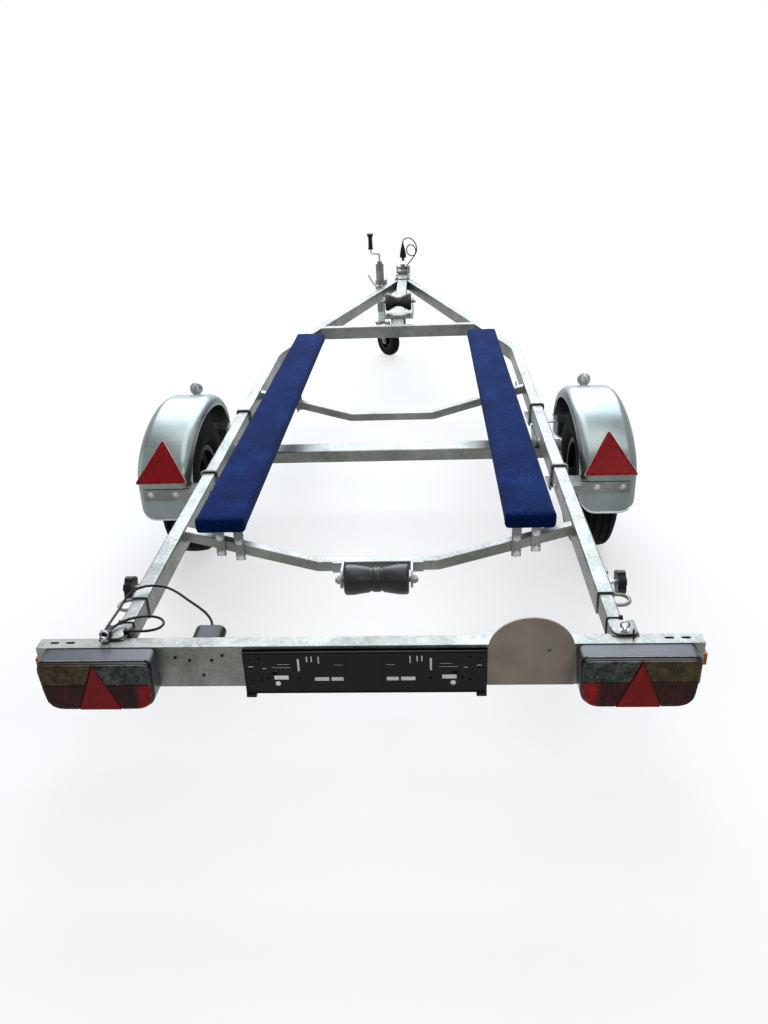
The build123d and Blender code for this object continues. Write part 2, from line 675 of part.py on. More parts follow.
def bow_roller():
    """Rubber bow roller with a concave V waist."""
    half = BOW_LEN / 2
    profile = Polygon(
        (-half, ROLLER_BORE_R), (-half, BOW_R_END - 5), (-half + 5, BOW_R_END), (-half + 16, BOW_R_END),
        (-12, BOW_R_MID), (12, BOW_R_MID),
        (half - 16, BOW_R_END), (half - 5, BOW_R_END), (half, BOW_R_END - 5), (half, ROLLER_BORE_R),
        align=None,
    )
    return Pos(0, BOW_Y, BOW_Z) * revolve(Plane.XY * profile, Axis.X)


def bow_bracket():
    """Folded bracket on the drawbar with two cheeks, the pin and its clamping straps."""
    x_in = BOW_LEN / 2 + ROLLER_SIDE_GAP
    y0, y1 = BOW_STRAP_Y - 22, BOW_Y + 46
    shape = block(-x_in - BOW_PLATE_T, x_in + BOW_PLATE_T, y0, y1, RAIL_TOP, RAIL_TOP + BOW_PLATE_T)
    shape += rod_x(-x_in - BOW_PLATE_T - 12, x_in + BOW_PLATE_T + 12, BOW_Y, BOW_Z, ROLLER_PIN_R)
    for side in SIDES.values():
        x0, x1 = sorted((side * x_in, side * (x_in + BOW_PLATE_T)))
        cheek = Polygon(
            (BOW_Y - 60, RAIL_TOP), (BOW_Y + 46, RAIL_TOP), (BOW_Y + 24, BOW_Z), (BOW_Y - 24, BOW_Z),
            align=None,
        )
        cheek_plane = Plane(origin=(x0, 0, 0), x_dir=(0, 1, 0), z_dir=(1, 0, 0))
        shape += extrude(cheek_plane * cheek, BOW_PLATE_T)
        shape += rod_x(x0, x1, BOW_Y, BOW_Z, 24)
    return shape


def drawbar_strap(y, top):
    """U-shaped strap round the drawbar with a plate under it."""
    gap = UBOLT_R + UBOLT_LEG_GAP
    x0 = -DRAWBAR_W / 2 - gap
    x1 = DRAWBAR_W / 2 + gap
    foot = RAIL_BOTTOM - 24
    path = FilletPolyline((x0, y, foot), (x0, y, top + gap), (x1, y, top + gap), (x1, y, foot), radius=9)
    profile = Plane(origin=(x0, y, foot), z_dir=(0, 0, 1)) * Circle(UBOLT_R)
    shape = sweep(profile, path)
    shape += block(x0 - 12, x1 + 12, y - 15, y + 15, RAIL_BOTTOM - 6, RAIL_BOTTOM)
    for x in (x0, x1):
        shape += hexagon_z(x, y, RAIL_BOTTOM - 6 - NUT_H, RAIL_BOTTOM - 6, NUT_R)
    return shape


# ---- coupling --------------------------------------------------------------------------------
def coupling():
    """Pressed ball coupling: bolted saddle over the drawbar and a rounded head with the socket."""
    half = COUPLING_PLATE_W / 2
    plate_end = COUPLING_REAR_Y + COUPLING_PLATE_L
    z_top = RAIL_TOP + COUPLING_PLATE_T
    shape = block(-half, half, COUPLING_REAR_Y, DRAWBAR_FRONT_Y + 10, RAIL_TOP, z_top)
    neck = block(-DRAWBAR_W / 2, DRAWBAR_W / 2, DRAWBAR_FRONT_Y, BALL_Y, HEAD_BOTTOM, HEAD_TOP - 14)
    head = rod_z(0, BALL_Y, HEAD_BOTTOM, HEAD_TOP, HEAD_R)
    head += rod_z(0, BALL_Y, HEAD_BOTTOM, HEAD_BOTTOM + 7, COUPLING_NOSE_Y - BALL_Y)
    shape += neck + head
    for x in (-half + 12, half - 12):
        for y in (COUPLING_REAR_Y + 16, plate_end - 16):
            shape += hexagon_z(x, y, z_top, z_top + 7, 9)
    return shape - rod_z(0, BALL_Y, HEAD_BOTTOM - 1, HEAD_BOTTOM + SOCKET_DEPTH, SOCKET_R)


def coupling_lever():
    """Release lever lying back over the head."""
    path = FilletPolyline(
        (0, BALL_Y - 14, HEAD_TOP), (0, BALL_Y - 14, HEAD_TOP + 26),
        (0, DRAWBAR_FRONT_Y + 10, HEAD_TOP + 44), (0, DRAWBAR_FRONT_Y - 36, HEAD_TOP + 34),
        radius=12,
    )
    start = Plane(origin=path @ 0, x_dir=(1, 0, 0), z_dir=path % 0)
    return sweep(start * RectangleRounded(30, 10, 4), path)


# ---- jockey wheel ----------------------------------------------------------------------------
def jockey_tube():
    """Outer tube with a cap at the top."""
    shape = rod_z(JOCKEY_X, JOCKEY_Y, JOCKEY_BOTTOM, JOCKEY_TOP, JOCKEY_R)
    shape -= rod_z(JOCKEY_X, JOCKEY_Y, JOCKEY_BOTTOM - 1, JOCKEY_TOP - 4, JOCKEY_R - JOCKEY_WALL)
    shape += rod_z(JOCKEY_X, JOCKEY_Y, JOCKEY_TOP, JOCKEY_TOP + 14, 15)
    return shape


def jockey_clamp():
    """Clamp ring on the left V arm, its bracket, pinch lugs and lever screw."""
    inner = JOCKEY_R + CLAMP_BORE_GAP
    outer = inner + CLAMP_RING_T
    back, front = JOCKEY_Y - 20, JOCKEY_Y + 20
    face = RAIL_W / 2 / math.cos(math.radians(V_ANGLE))
    plan = Polygon(
        (JOCKEY_X, back), (-v_centre_x(back) - face, back), (-v_centre_x(front) - face, front), (JOCKEY_X, front),
        align=None,
    )
    bracket = Pos(0, 0, CLAMP_Z) * extrude(plan, CLAMP_H)
    shape = rod_z(JOCKEY_X, JOCKEY_Y, CLAMP_Z, CLAMP_Z + CLAMP_H, outer) + bracket
    lug_y = JOCKEY_Y - outer - 22
    screw_y = JOCKEY_Y - outer - LEVER_SCREW_OFFSET
    shape += block(JOCKEY_X - 9, JOCKEY_X + 9, lug_y, JOCKEY_Y, CLAMP_Z + 8, CLAMP_Z + CLAMP_H - 8)
    shape -= rod_z(JOCKEY_X, JOCKEY_Y, CLAMP_Z - 1, CLAMP_Z + CLAMP_H + 1, inner)
    shape -= block(JOCKEY_X - 2, JOCKEY_X + 2, lug_y - 1, JOCKEY_Y, CLAMP_Z - 1, CLAMP_Z + CLAMP_H + 1)
    return shape - rod_x(JOCKEY_X - 20, JOCKEY_X + 20, screw_y, CLAMP_Z + CLAMP_H / 2, LEVER_R)


def jockey_lever():
    """Clamping screw through the lugs, with its bent lever and a plain handle grip."""
    y = JOCKEY_Y - JOCKEY_R - CLAMP_BORE_GAP - CLAMP_RING_T - LEVER_SCREW_OFFSET
    z = CLAMP_Z + CLAMP_H / 2
    path = FilletPolyline(
        (JOCKEY_X + 16, y, z), (JOCKEY_X - 30, y, z), (JOCKEY_X - 44, y, z + 20), (JOCKEY_X - 70, y, z + 66),
        radius=9,
    )
    start = Plane(origin=path @ 0, z_dir=path % 0)
    return sweep(start * Circle(LEVER_R), path)


def jockey_leg():
    """Inner leg that telescopes in the outer tube."""
    top = JOCKEY_BOTTOM + LEG_OVERLAP
    return rod_z(JOCKEY_X, JOCKEY_Y, FORK_CROWN_Z, top, LEG_R)


def fork_centre():
    """Middle of the jockey wheel."""
    a = math.radians(FORK_SWIVEL)
    return JOCKEY_X + FORK_TRAIL * math.sin(a), JOCKEY_Y - FORK_TRAIL * math.cos(a)


def jockey_fork():
    """Fork with a crown plate, two raked blades and the wheel's pin, drawn straight then turned."""
    half = JWHEEL_W / 2 + 6
    crown = block(-half - FORK_T, half + FORK_T, -26 - 12, 26, -8, 0)
    shape = crown
    for side in SIDES.values():
        x0, x1 = sorted((side * half, side * (half + FORK_T)))
        blade = Polygon(
            (26, 0), (-38, 0), (-FORK_TRAIL - 18, JWHEEL_R - FORK_CROWN_Z), (-FORK_TRAIL + 18, JWHEEL_R - FORK_CROWN_Z),
            align=None,
        )
        blade_plane = Plane(origin=(x0, 0, 0), x_dir=(0, 1, 0), z_dir=(1, 0, 0))
        shape += extrude(blade_plane * blade, FORK_T)
        shape += rod_x(x0, x1, -FORK_TRAIL, JWHEEL_R - FORK_CROWN_Z, 18)
    shape += rod_x(-half - FORK_T - 8, half + FORK_T + 8, -FORK_TRAIL, JWHEEL_R - FORK_CROWN_Z, JPIN_R)
    return Pos(JOCKEY_X, JOCKEY_Y, FORK_CROWN_Z) * Rot(0, 0, FORK_SWIVEL) * shape


def jockey_wheel():
    """Solid rubber tyre of the jockey wheel."""
    half = JWHEEL_W / 2
    profile = Polygon(
        (-half, 56), (-half, JWHEEL_R - 14), (-half + 5, JWHEEL_R - 4), (-half + 14, JWHEEL_R),
        (half - 14, JWHEEL_R), (half - 5, JWHEEL_R - 4), (half, JWHEEL_R - 14), (half, 56),
        align=None,
    )
    x, y = fork_centre()
    return Pos(x, y, JWHEEL_R) * Rot(0, 0, FORK_SWIVEL) * revolve(Plane.XY * profile, Axis.X)


def jockey_rim():
    """Centre of the jockey wheel with its bore."""
    half = JWHEEL_W / 2
    profile = Polygon(
        (-half, 56), (-half, 46), (-7, 40), (-7, 24), (-half - 2, 22), (-half - 2, JWHEEL_BORE_R),
        (half + 2, JWHEEL_BORE_R), (half + 2, 22), (7, 24), (7, 40), (half, 46), (half, 56),
        align=None,
    )
    x, y = fork_centre()
    return Pos(x, y, JWHEEL_R) * Rot(0, 0, FORK_SWIVEL) * revolve(Plane.XY * profile, Axis.X)


def jockey_crank():
    """Crank rod on top of the jockey, ending in an upright for the grip."""
    z0 = JOCKEY_TOP + 14
    end_x, end_y = JOCKEY_X - CRANK_THROW * 0.55, JOCKEY_Y - CRANK_THROW * 0.5
    path = FilletPolyline(
        (JOCKEY_X, JOCKEY_Y, z0), (JOCKEY_X, JOCKEY_Y, z0 + CRANK_RISE),
        (end_x, end_y, z0 + CRANK_RISE + 10), (end_x, end_y, z0 + CRANK_RISE + 20 + GRIP_L),
        radius=14,
    )
    start = Plane(origin=path @ 0, z_dir=path % 0)
    return sweep(start * Circle(CRANK_R), path)


def jockey_grip():
    """Flared grip on the crank."""
    z0 = JOCKEY_TOP + 14 + CRANK_RISE + 34
    profile = Polygon(
        (CRANK_R, 0), (GRIP_R + 2, 0), (GRIP_R - 1, 14), (GRIP_R - 2, GRIP_L - 26), (GRIP_R + 5, GRIP_L - 8),
        (GRIP_R + 4, GRIP_L), (0, GRIP_L), (0, GRIP_L - 14), (CRANK_R, GRIP_L - 14),
        align=None,
    )
    end_x, end_y = JOCKEY_X - CRANK_THROW * 0.55, JOCKEY_Y - CRANK_THROW * 0.5
    return Pos(end_x, end_y, z0) * revolve(Plane.XZ * profile, Axis.Z)


# ---- light board -----------------------------------------------------------------------------
def light_beam():
    """Folded channel with two slots near each end and closed ends."""
    z0 = BOARD_TOP - BOARD_H
    beam = block(-BOARD_HALF, BOARD_HALF, 0, BOARD_T, z0, BOARD_TOP)
    beam += block(-BOARD_HALF, BOARD_HALF, 0, BOARD_FLANGE, BOARD_TOP - BOARD_T, BOARD_TOP)
    beam += block(-BOARD_HALF, BOARD_HALF, 0, BOARD_LOWER_FLANGE, z0, z0 + BOARD_T)
    for side in SIDES.values():
        for x in SLOT_XS:
            slot = Pos(side * x, BOARD_FLANGE * 0.55, BOARD_TOP) * SlotOverall(SLOT_L, SLOT_W)
            beam -= extrude(slot, 2 * BOARD_T, both=True)
    return beam


def light_arm():
    """Right arm: square tube that telescopes in the side rail."""
    plane = Plane(origin=(RAIL_X, BOARD_T, RAIL_Z), x_dir=(1, 0, 0), z_dir=(0, 1, 0))
    section = tube_section(ARM_TUBE_W, ARM_TUBE_H, ARM_TUBE_T, 4)
    return extrude(plane * section, ARM_TUBE_FRONT_Y - BOARD_T)


def lamp_block(y0, y1, z0, z1, inset=0.0):
    """Rounded slab of a right lamp between two depths, seen from behind."""
    x0, x1 = LAMP_INNER + inset, LAMP_INNER + LAMP_W - inset
    width, height = x1 - x0, z1 - z0
    plane = Plane(origin=((x0 + x1) / 2, y1, (z0 + z1) / 2), x_dir=(1, 0, 0), z_dir=(0, -1, 0))
    return extrude(plane * RectangleRounded(width, height, LAMP_CORNER - inset), y1 - y0)


def lamp_housing():
    """Right lamp housing, open seat for the lens."""
    return lamp_block(-LAMP_BODY_D, 0, LAMP_TOP - LAMP_H, LAMP_TOP)


def lamp_lens():
    """Whole lens of the right lamp, with a softened front edge."""
    whole = lamp_block(-LAMP_D, -LAMP_BODY_D, LAMP_TOP - LAMP_H + 3, LAMP_TOP - 3, 3)
    return fillet(whole.edges().group_by(Axis.Y)[0], 5)


def lens_band(z0, z1):
    """The part of the right lens between two heights."""
    return lamp_lens() & block(LAMP_INNER - 5, LAMP_INNER + LAMP_W + 5, -LAMP_D - 5, 5, z0, z1)


def lens_clear():
    """Clear upper chambers of the right lamp."""
    return lens_band(LAMP_TOP - LAMP_H * LENS_SPLIT, LAMP_TOP + 5)


def lens_red():
    """Red lower chambers of the right lamp."""
    return lens_band(LAMP_TOP - LAMP_H - 5, LAMP_TOP - LAMP_H * LENS_SPLIT)


def plate_holder():
    """Number-plate holder with rows of cut-outs and two clip feet."""
    z0 = PLATE_TOP - PLATE_H
    shape = block(PLATE_X0, PLATE_X0 + PLATE_W, -PLATE_D, 0, z0, PLATE_TOP)
    columns, rows = 16, 3
    for i in range(columns):
        for j in range(rows):
            x = PLATE_X0 + PLATE_W * (i + 0.5) / columns
            z = z0 + PLATE_H * (j + 0.5) / rows
            shape -= block(x - 10, x + 10, -PLATE_D - 1, 1, z - 6, z + 6)
    for x in (PLATE_X0 + PLATE_W * 0.3, PLATE_X0 + PLATE_W * 0.7):
        shape += block(x - 14, x + 14, -PLATE_D - 5, 0, z0 - 8, z0)
    return shape


def arch_plate():
    """Blank plate with an arched top."""
    radius = ARCH_W / 2
    spring = ARCH_TOP - radius * 0.9
    with BuildSketch(Plane.XZ) as sketch:
        with BuildLine():
            middle = ARCH_X0 + ARCH_W / 2
            EllipticalCenterArc((middle, spring), radius, ARCH_TOP - spring, start_angle=0, arc_size=180)
            Line((middle - radius, spring), (middle - radius, ARCH_BOTTOM))
            Line((middle - radius, ARCH_BOTTOM), (middle + radius, ARCH_BOTTOM))
            Line((middle + radius, ARCH_BOTTOM), (middle + radius, spring))
        make_face()
    plate = extrude(sketch.sketch, ARCH_T, dir=(0, -1, 0))
    hole_x, hole_z = ARCH_X0 + ARCH_HOLE_X, ARCH_TOP - ARCH_HOLE_DROP
    return plate - rod_y(hole_x, -2 * ARCH_T, ARCH_T, hole_z, ARCH_HOLE_R)


def side_marker():
    """Right amber marker on the end of the light board."""
    z = BOARD_TOP - 42
    return block(BOARD_HALF, BOARD_HALF + 7, 0, 30, z - 14, z + 14) + block(
        BOARD_HALF - 6, BOARD_HALF, BOARD_T, 14, z - 10, z + 10)


def junction_box():
    """Oval connector box hung behind the channel."""
    plane = Plane(origin=(JBOX_X, BOARD_T, JBOX_Z), x_dir=(1, 0, 0), z_dir=(0, 1, 0))
    return extrude(plane * SlotOverall(70, 34), 92)


# ---- hand wheels and lashing loops -------------------------------------------------------------
def hand_wheel():
    """Right locking screw with its lobed hand wheel."""
    x_wheel = RAIL_X + RAIL_W / 2 + 24
    shape = rod_x(x_wheel, x_wheel + HANDWHEEL_T, HANDWHEEL_Y, RAIL_Z, HANDWHEEL_R)
    for step in range(6):
        a = math.radians(60 * step)
        y = HANDWHEEL_Y + (HANDWHEEL_R + 6) * math.cos(a)
        z = RAIL_Z + (HANDWHEEL_R + 6) * math.sin(a)
        shape -= rod_x(x_wheel - 1, x_wheel + HANDWHEEL_T + 1, y, z, 11)
    return shape


def hand_screw():
    """Right screw and the nut welded on the rail for the hand wheel."""
    x_face = RAIL_X + RAIL_W / 2
    tip = RAIL_X + ARM_TUBE_W / 2 + SCREW_TIP_GAP
    return rod_x(tip, x_face + 24, HANDWHEEL_Y, RAIL_Z, SCREW_R) + hexagon_x(
        x_face, x_face + 11, HANDWHEEL_Y, RAIL_Z, 12)


def lashing_loop():
    """Right lashing loop: a bent rod welded to the rail's outer face."""
    x0 = RAIL_X + RAIL_W / 2
    z = RAIL_Z - 8
    path = FilletPolyline(
        (x0, LOOP_Y - LOOP_W / 2, z), (x0 + LOOP_REACH, LOOP_Y - LOOP_W / 2, z),
        (x0 + LOOP_REACH, LOOP_Y + LOOP_W / 2, z), (x0, LOOP_Y + LOOP_W / 2, z),
        radius=LOOP_W / 2 - 1,
    )
    start = Plane(origin=path @ 0, z_dir=path % 0)
    return sweep(start * Circle(LOOP_ROD_R), path)


def build():
    """Make and write every piece."""
    os.makedirs("parts", exist_ok=True)
    save("drawbar", drawbar())
    save("cross_tube_front", front_cross_tube())
    save("cross_tube_middle", dipped_cross_tube(DIP_FRONT_Y))
    save("cross_tube_rear", dipped_cross_tube(DIP_REAR_Y))
    save("axle_beam", axle_beam())
    save("keel_roller", keel_roller())
    save("keel_roller_bracket", keel_bracket())
    save("bow_roller", bow_roller())
    save("bow_roller_bracket", bow_bracket() + drawbar_strap(BOW_STRAP_Y, RAIL_TOP + BOW_PLATE_T))
    save("coupling_head", coupling())
    save("coupling_lever", coupling_lever())
    save("jockey_clamp", jockey_clamp())
    save("jockey_clamp_lever", jockey_lever())
    save("jockey_outer_tube", jockey_tube())
    save("jockey_leg", jockey_leg())
    save("jockey_fork", jockey_fork())
    save("jockey_wheel_tyre", jockey_wheel())
    save("jockey_wheel_rim", jockey_rim())
    save("jockey_crank", jockey_crank())
    save("jockey_crank_grip", jockey_grip())
    save("light_beam", light_beam())
    save("plate_holder", plate_holder())
    save("arch_plate", arch_plate())
    save("junction_box", junction_box())
    one_each_side = {
        "rail": side_rail,
        "tyre": tyre,
        "rim": rim,
        "mudguard": mudguard,
        "bunk": bunk,
    }
    for name, make in one_each_side.items():
        shape = make()
        for side_name, side in SIDES.items():
            save(f"{name}_{side_name}", mirrored(shape, side))
    pairs = {
        "swing_arms": swing_arm,
        "guard_carriers": guard_carrier,
        "triangles": warning_triangle,
        "marker_lamps": marker_lamp,
        "bunk_clamps": bunk_clamps,
        "light_arms": light_arm,
        "lamp_housings": lamp_housing,
        "lenses_clear": lens_clear,
        "lenses_red": lens_red,
        "side_markers": side_marker,
        "hand_wheels": hand_wheel,
        "hand_screws": hand_screw,
        "lashing_loops": lashing_loop,
    }
    for name, make in pairs.items():
        shape = make()
        save(name, *(solid for side in SIDES.values() for solid in mirrored(shape, side).solids()))


build()
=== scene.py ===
import math
import random

import bmesh
import bpy
from mathutils import Matrix, Vector, noise


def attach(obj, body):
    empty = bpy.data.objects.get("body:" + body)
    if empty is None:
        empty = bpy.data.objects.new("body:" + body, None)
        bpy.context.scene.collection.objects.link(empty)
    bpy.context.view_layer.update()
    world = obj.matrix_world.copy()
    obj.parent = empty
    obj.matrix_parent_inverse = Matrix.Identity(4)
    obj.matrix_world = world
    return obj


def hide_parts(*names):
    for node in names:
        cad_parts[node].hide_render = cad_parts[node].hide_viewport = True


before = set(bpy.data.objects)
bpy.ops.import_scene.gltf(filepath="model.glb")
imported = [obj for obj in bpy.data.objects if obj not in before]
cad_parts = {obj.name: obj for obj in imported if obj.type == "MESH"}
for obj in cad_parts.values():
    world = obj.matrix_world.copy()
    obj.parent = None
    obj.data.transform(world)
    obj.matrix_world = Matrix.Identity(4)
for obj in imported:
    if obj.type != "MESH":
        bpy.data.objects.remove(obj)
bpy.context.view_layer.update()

# Small boat trailer. Everything is in metres: +Y points forward to the coupling, +X to the right,
# +Z up, the ground is Z = 0 and the middle of the trailer's length is Y = 0.

MM = 0.001
SIDES = {"left": -1, "right": 1}
BOARD_REAR_Y = -2.136       # rear face of the light board, from which stations are given


def station(y_mm):
    """Y of a station given in millimetres from the light board's rear face."""
    return BOARD_REAR_Y + y_mm * MM


# ---- camera, floor and lamps ----
CAMERA_AT = (0.1415, -3.6365, 1.4794)
CAMERA_YAW, CAMERA_PITCH, CAMERA_ROLL = -0.058, 0.452, -0.042
FOCAL_PIXELS, FRAME_PIXELS, SENSOR_MM = 854.6, 1024, 36.0


def put(name, data):
    """A new object in the scene."""
    made = bpy.data.objects.new(name, data)
    bpy.context.scene.collection.objects.link(made)
    return made


def place_camera():
    """Camera behind the trailer, above it and looking forward and down."""
    data = bpy.data.cameras.new("camera")
    data.sensor_fit = "AUTO"
    data.sensor_width = SENSOR_MM
    data.lens = FOCAL_PIXELS * SENSOR_MM / FRAME_PIXELS
    camera = put("camera", data)
    cos_p, sin_p = math.cos(CAMERA_PITCH), math.sin(CAMERA_PITCH)
    forward = Vector((math.sin(CAMERA_YAW) * cos_p, math.cos(CAMERA_YAW) * cos_p, -sin_p))
    level = Vector((math.cos(CAMERA_YAW), -math.sin(CAMERA_YAW), 0))
    up = level.cross(forward)
    right = level * math.cos(CAMERA_ROLL) + up * math.sin(CAMERA_ROLL)
    over = up * math.cos(CAMERA_ROLL) - level * math.sin(CAMERA_ROLL)
    turn = Matrix((right, over, -forward)).transposed()
    camera.matrix_world = Matrix.Translation(CAMERA_AT) @ turn.to_4x4()
    bpy.context.scene.camera = camera


def linear(hex_colour):
    """An sRGB hex colour as linear RGBA."""
    channels = [int(hex_colour[i:i + 2], 16) / 255 for i in (1, 3, 5)]
    return [c / 12.92 if c <= 0.04045 else ((c + 0.055) / 1.055) ** 2.4 for c in channels] + [1.0]


def socket(sockets, key):
    """The enabled socket with that name, or the one at that place."""
    if isinstance(key, int):
        return sockets[key]
    return next(s for s in sockets if s.enabled and s.name == key)


def feed(tree, node, links):
    """Link each source, an output or a node's first one in use, to the input it is named with."""
    for key, source in links:
        if isinstance(source, bpy.types.Node):
            source = next(s for s in source.outputs if s.enabled)
        tree.links.new(source, socket(node.inputs, key))


def add(tree, kind, settings, links=()):
    """Add one node with its settings and links.

    Links are pairs of an input's name or place and a source, or one source for the first input."""
    made = tree.nodes.new("ShaderNode" + kind)
    for key, value in settings.items():
        if key == "stops":
            ramp = made.color_ramp
            while len(ramp.elements) < len(value):
                ramp.elements.new(0.5)
            for element, (place, colour) in zip(ramp.elements, value):
                element.position = place
                element.color = linear(colour)
        elif isinstance(key, str) and hasattr(made, key):
            setattr(made, key, value)
        else:
            socket(made.inputs, key).default_value = value
    feed(tree, made, links if isinstance(links, (list, tuple)) else [(0, links)])
    return made


def background_seen(tree):
    """1 for rays that see the background itself: from the camera, a gloss or through glass."""
    path = add(tree, "LightPath", {})
    seen = add(tree, "Math", {"operation": "MAXIMUM"},
               [(0, path.outputs["Is Camera Ray"]), (1, path.outputs["Is Glossy Ray"])])
    either = add(tree, "Math", {"operation": "MAXIMUM"},
                 [(0, seen), (1, path.outputs["Is Transmission Ray"])])
    return either


WORLD_FILL = 0.22           # strength of the fill that the backdrop gives


def light_world():
    """White backdrop that fills the shadows softly."""
    world = bpy.data.worlds.new("studio")
    bpy.context.scene.world = world
    world.use_nodes = True
    tree = world.node_tree
    tree.nodes.clear()
    fill = add(tree, "Background", {"Color": linear("#F2F6FA"), "Strength": WORLD_FILL})
    white = add(tree, "Background", {"Color": linear("#FFFFFF"), "Strength": 1.0})
    mix = add(tree, "MixShader", {}, [(0, background_seen(tree)), (1, fill), (2, white)])
    add(tree, "OutputWorld", {}, [("Surface", mix)])


# Each lamp: name, place, size in metres, watts, colour and the point it looks at.
LAMPS = (
    ("overhead", (0.1, -0.4, 4.6), (3.2, 5.6), 118, "#FFFFFF", (0, -0.2, 0)),
    ("sky_ahead", (0.0, 8.0, 6.2), (10.0, 7.6), 1400, "#E4EFFF", (0, 0, 1.6)),
    ("rear_key", (2.2, -4.6, 3.2), (1.2, 1.2), 22, "#FFF8F0", (0, -1.2, 0.3)),
    ("left_side", (-4.2, -0.8, 1.6), (2.0, 2.4), 12, "#EEF4FF", (0, -0.2, 0.3)),
)


def hang_lamps():
    """Large soft lamps: one overhead and one high ahead, mirrored in the upper faces."""
    for name, place, size, watts, colour, target in LAMPS:
        data = bpy.data.lights.new(name, "AREA")
        data.shape = "RECTANGLE"
        data.size, data.size_y = size
        data.energy = watts
        data.color = linear(colour)[:3]
        lamp = put(name, data)
        lamp.location = place
        lamp.rotation_euler = (Vector(target) - Vector(place)).to_track_quat("-Z", "Y").to_euler()


FLOOR_HALF = 16.0
FLOOR_LIFT = 0.6            # how much of the floor near the trailer is background already
FLOOR_NEAR, FLOOR_FAR = 2.1, 3.8     # the pool of real floor light fades out between these, in metres


def lay_floor():
    """Pale matt floor that takes the shadow, and passes into the white backdrop far from the trailer."""
    data = bpy.data.meshes.new("floor")
    h = FLOOR_HALF
    data.from_pydata([(-h, -h, 0), (h, -h, 0), (h, h, 0), (-h, h, 0)], [], [(0, 1, 2, 3)])
    floor = put("floor", data)
    material, tree, shader = finish_of("pale_matt_floor", roughness=0.95, specular_ior_level=0.1)
    seen = background_seen(tree)
    shown = add(tree, "Mix", {"data_type": "RGBA", "A": linear("#A8A8A6"), "B": linear("#FBFBFB")},
                [("Factor", seen)])
    feed(tree, shader, [("Base Color", shown)])
    away = add(tree, "VectorMath", {"operation": "LENGTH"}, coordinates(tree))
    span = {"interpolation_type": "SMOOTHSTEP", "From Min": FLOOR_NEAR, "From Max": FLOOR_FAR,
            "To Min": FLOOR_LIFT}
    fade = add(tree, "MapRange", span, away)
    share = add(tree, "Math", {"operation": "MULTIPLY"}, [(0, fade), (1, seen)])
    white = add(tree, "Emission", {"Color": linear("#FFFFFF"), "Strength": 1.0})
    mix = add(tree, "MixShader", {}, [(0, share), (1, shader), (2, white)])
    feed(tree, tree.nodes["Material Output"], [("Surface", mix)])
    data.materials.append(material)


# ---- finishes ----
def finish_of(name, **constants):
    """A new material and its tree and shader, with the shader's constant sockets set."""
    material = bpy.data.materials.new(name)
    material.use_nodes = True
    tree = material.node_tree
    shader = tree.nodes["Principled BSDF"]
    for key, value in constants.items():
        shader.inputs[key.replace("_", " ").title().replace("Ior", "IOR")].default_value = value
    return material, tree, shader


def coordinates(tree):
    """Positions in metres that move with the piece."""
    return add(tree, "TexCoord", {}).outputs["Object"]


def galvanised_steel(name, dark, pale, spangle_mm, gloss):
    """Hot-dip galvanised steel: small frozen zinc crystals in close greys under a soft, cold shine."""
    material, tree, shader = finish_of(name, metallic=0.82)
    place = coordinates(tree)
    crystals = add(tree, "TexVoronoi", {"Scale": 1 / (spangle_mm * MM)}, place)
    clouds = add(tree, "TexNoise", {"Scale": 1 / (120 * MM), "Detail": 4.0}, place)
    frost = add(tree, "TexNoise", {"Scale": 1 / (1.6 * MM), "Detail": 2.0}, place)
    split = add(tree, "SeparateColor", {}, crystals.outputs["Color"])
    grain = add(tree, "Math", {"operation": "MULTIPLY_ADD", 1: 0.12}, [(0, split), (2, clouds)])
    mixed = add(tree, "Math", {"operation": "MULTIPLY_ADD", 1: 0.12}, [(0, frost), (2, grain)])
    tone = add(tree, "ValToRGB", {"stops": [(0.42, dark), (0.86, pale)]}, mixed)
    dull = add(tree, "MapRange", {"To Min": gloss - 0.06, "To Max": gloss + 0.08}, split.outputs[1])
    ripple = add(tree, "TexNoise", {"Scale": 1 / (18 * MM), "Detail": 2.0}, place)
    relief = add(tree, "Bump", {"Strength": 0.05, "Distance": 0.4 * MM}, [("Height", ripple)])
    feed(tree, shader, [("Base Color", tone), ("Roughness", dull), ("Normal", relief)])
    return material


def pressed_zinc_sheet():
    """Zinc-coated sheet drawn over a former: very fine spangle under a smooth, cold sheen."""
    material, tree, shader = finish_of("pressed_zinc_coated_sheet", metallic=0.92)
    place = coordinates(tree)
    crystals = add(tree, "TexVoronoi", {"Scale": 1 / (3.5 * MM)}, place)
    clouds = add(tree, "TexNoise", {"Scale": 1 / (160 * MM), "Detail": 3.0}, place)
    split = add(tree, "SeparateColor", {}, crystals.outputs["Color"])
    grain = add(tree, "Math", {"operation": "MULTIPLY_ADD", 1: 0.1}, [(0, split), (2, clouds)])
    tone = add(tree, "ValToRGB", {"stops": [(0.3, "#626B6C"), (0.8, "#87918F")]}, grain)
    dull = add(tree, "MapRange", {"To Min": 0.24, "To Max": 0.34}, clouds)
    feed(tree, shader, [("Base Color", tone), ("Roughness", dull)])
    return material


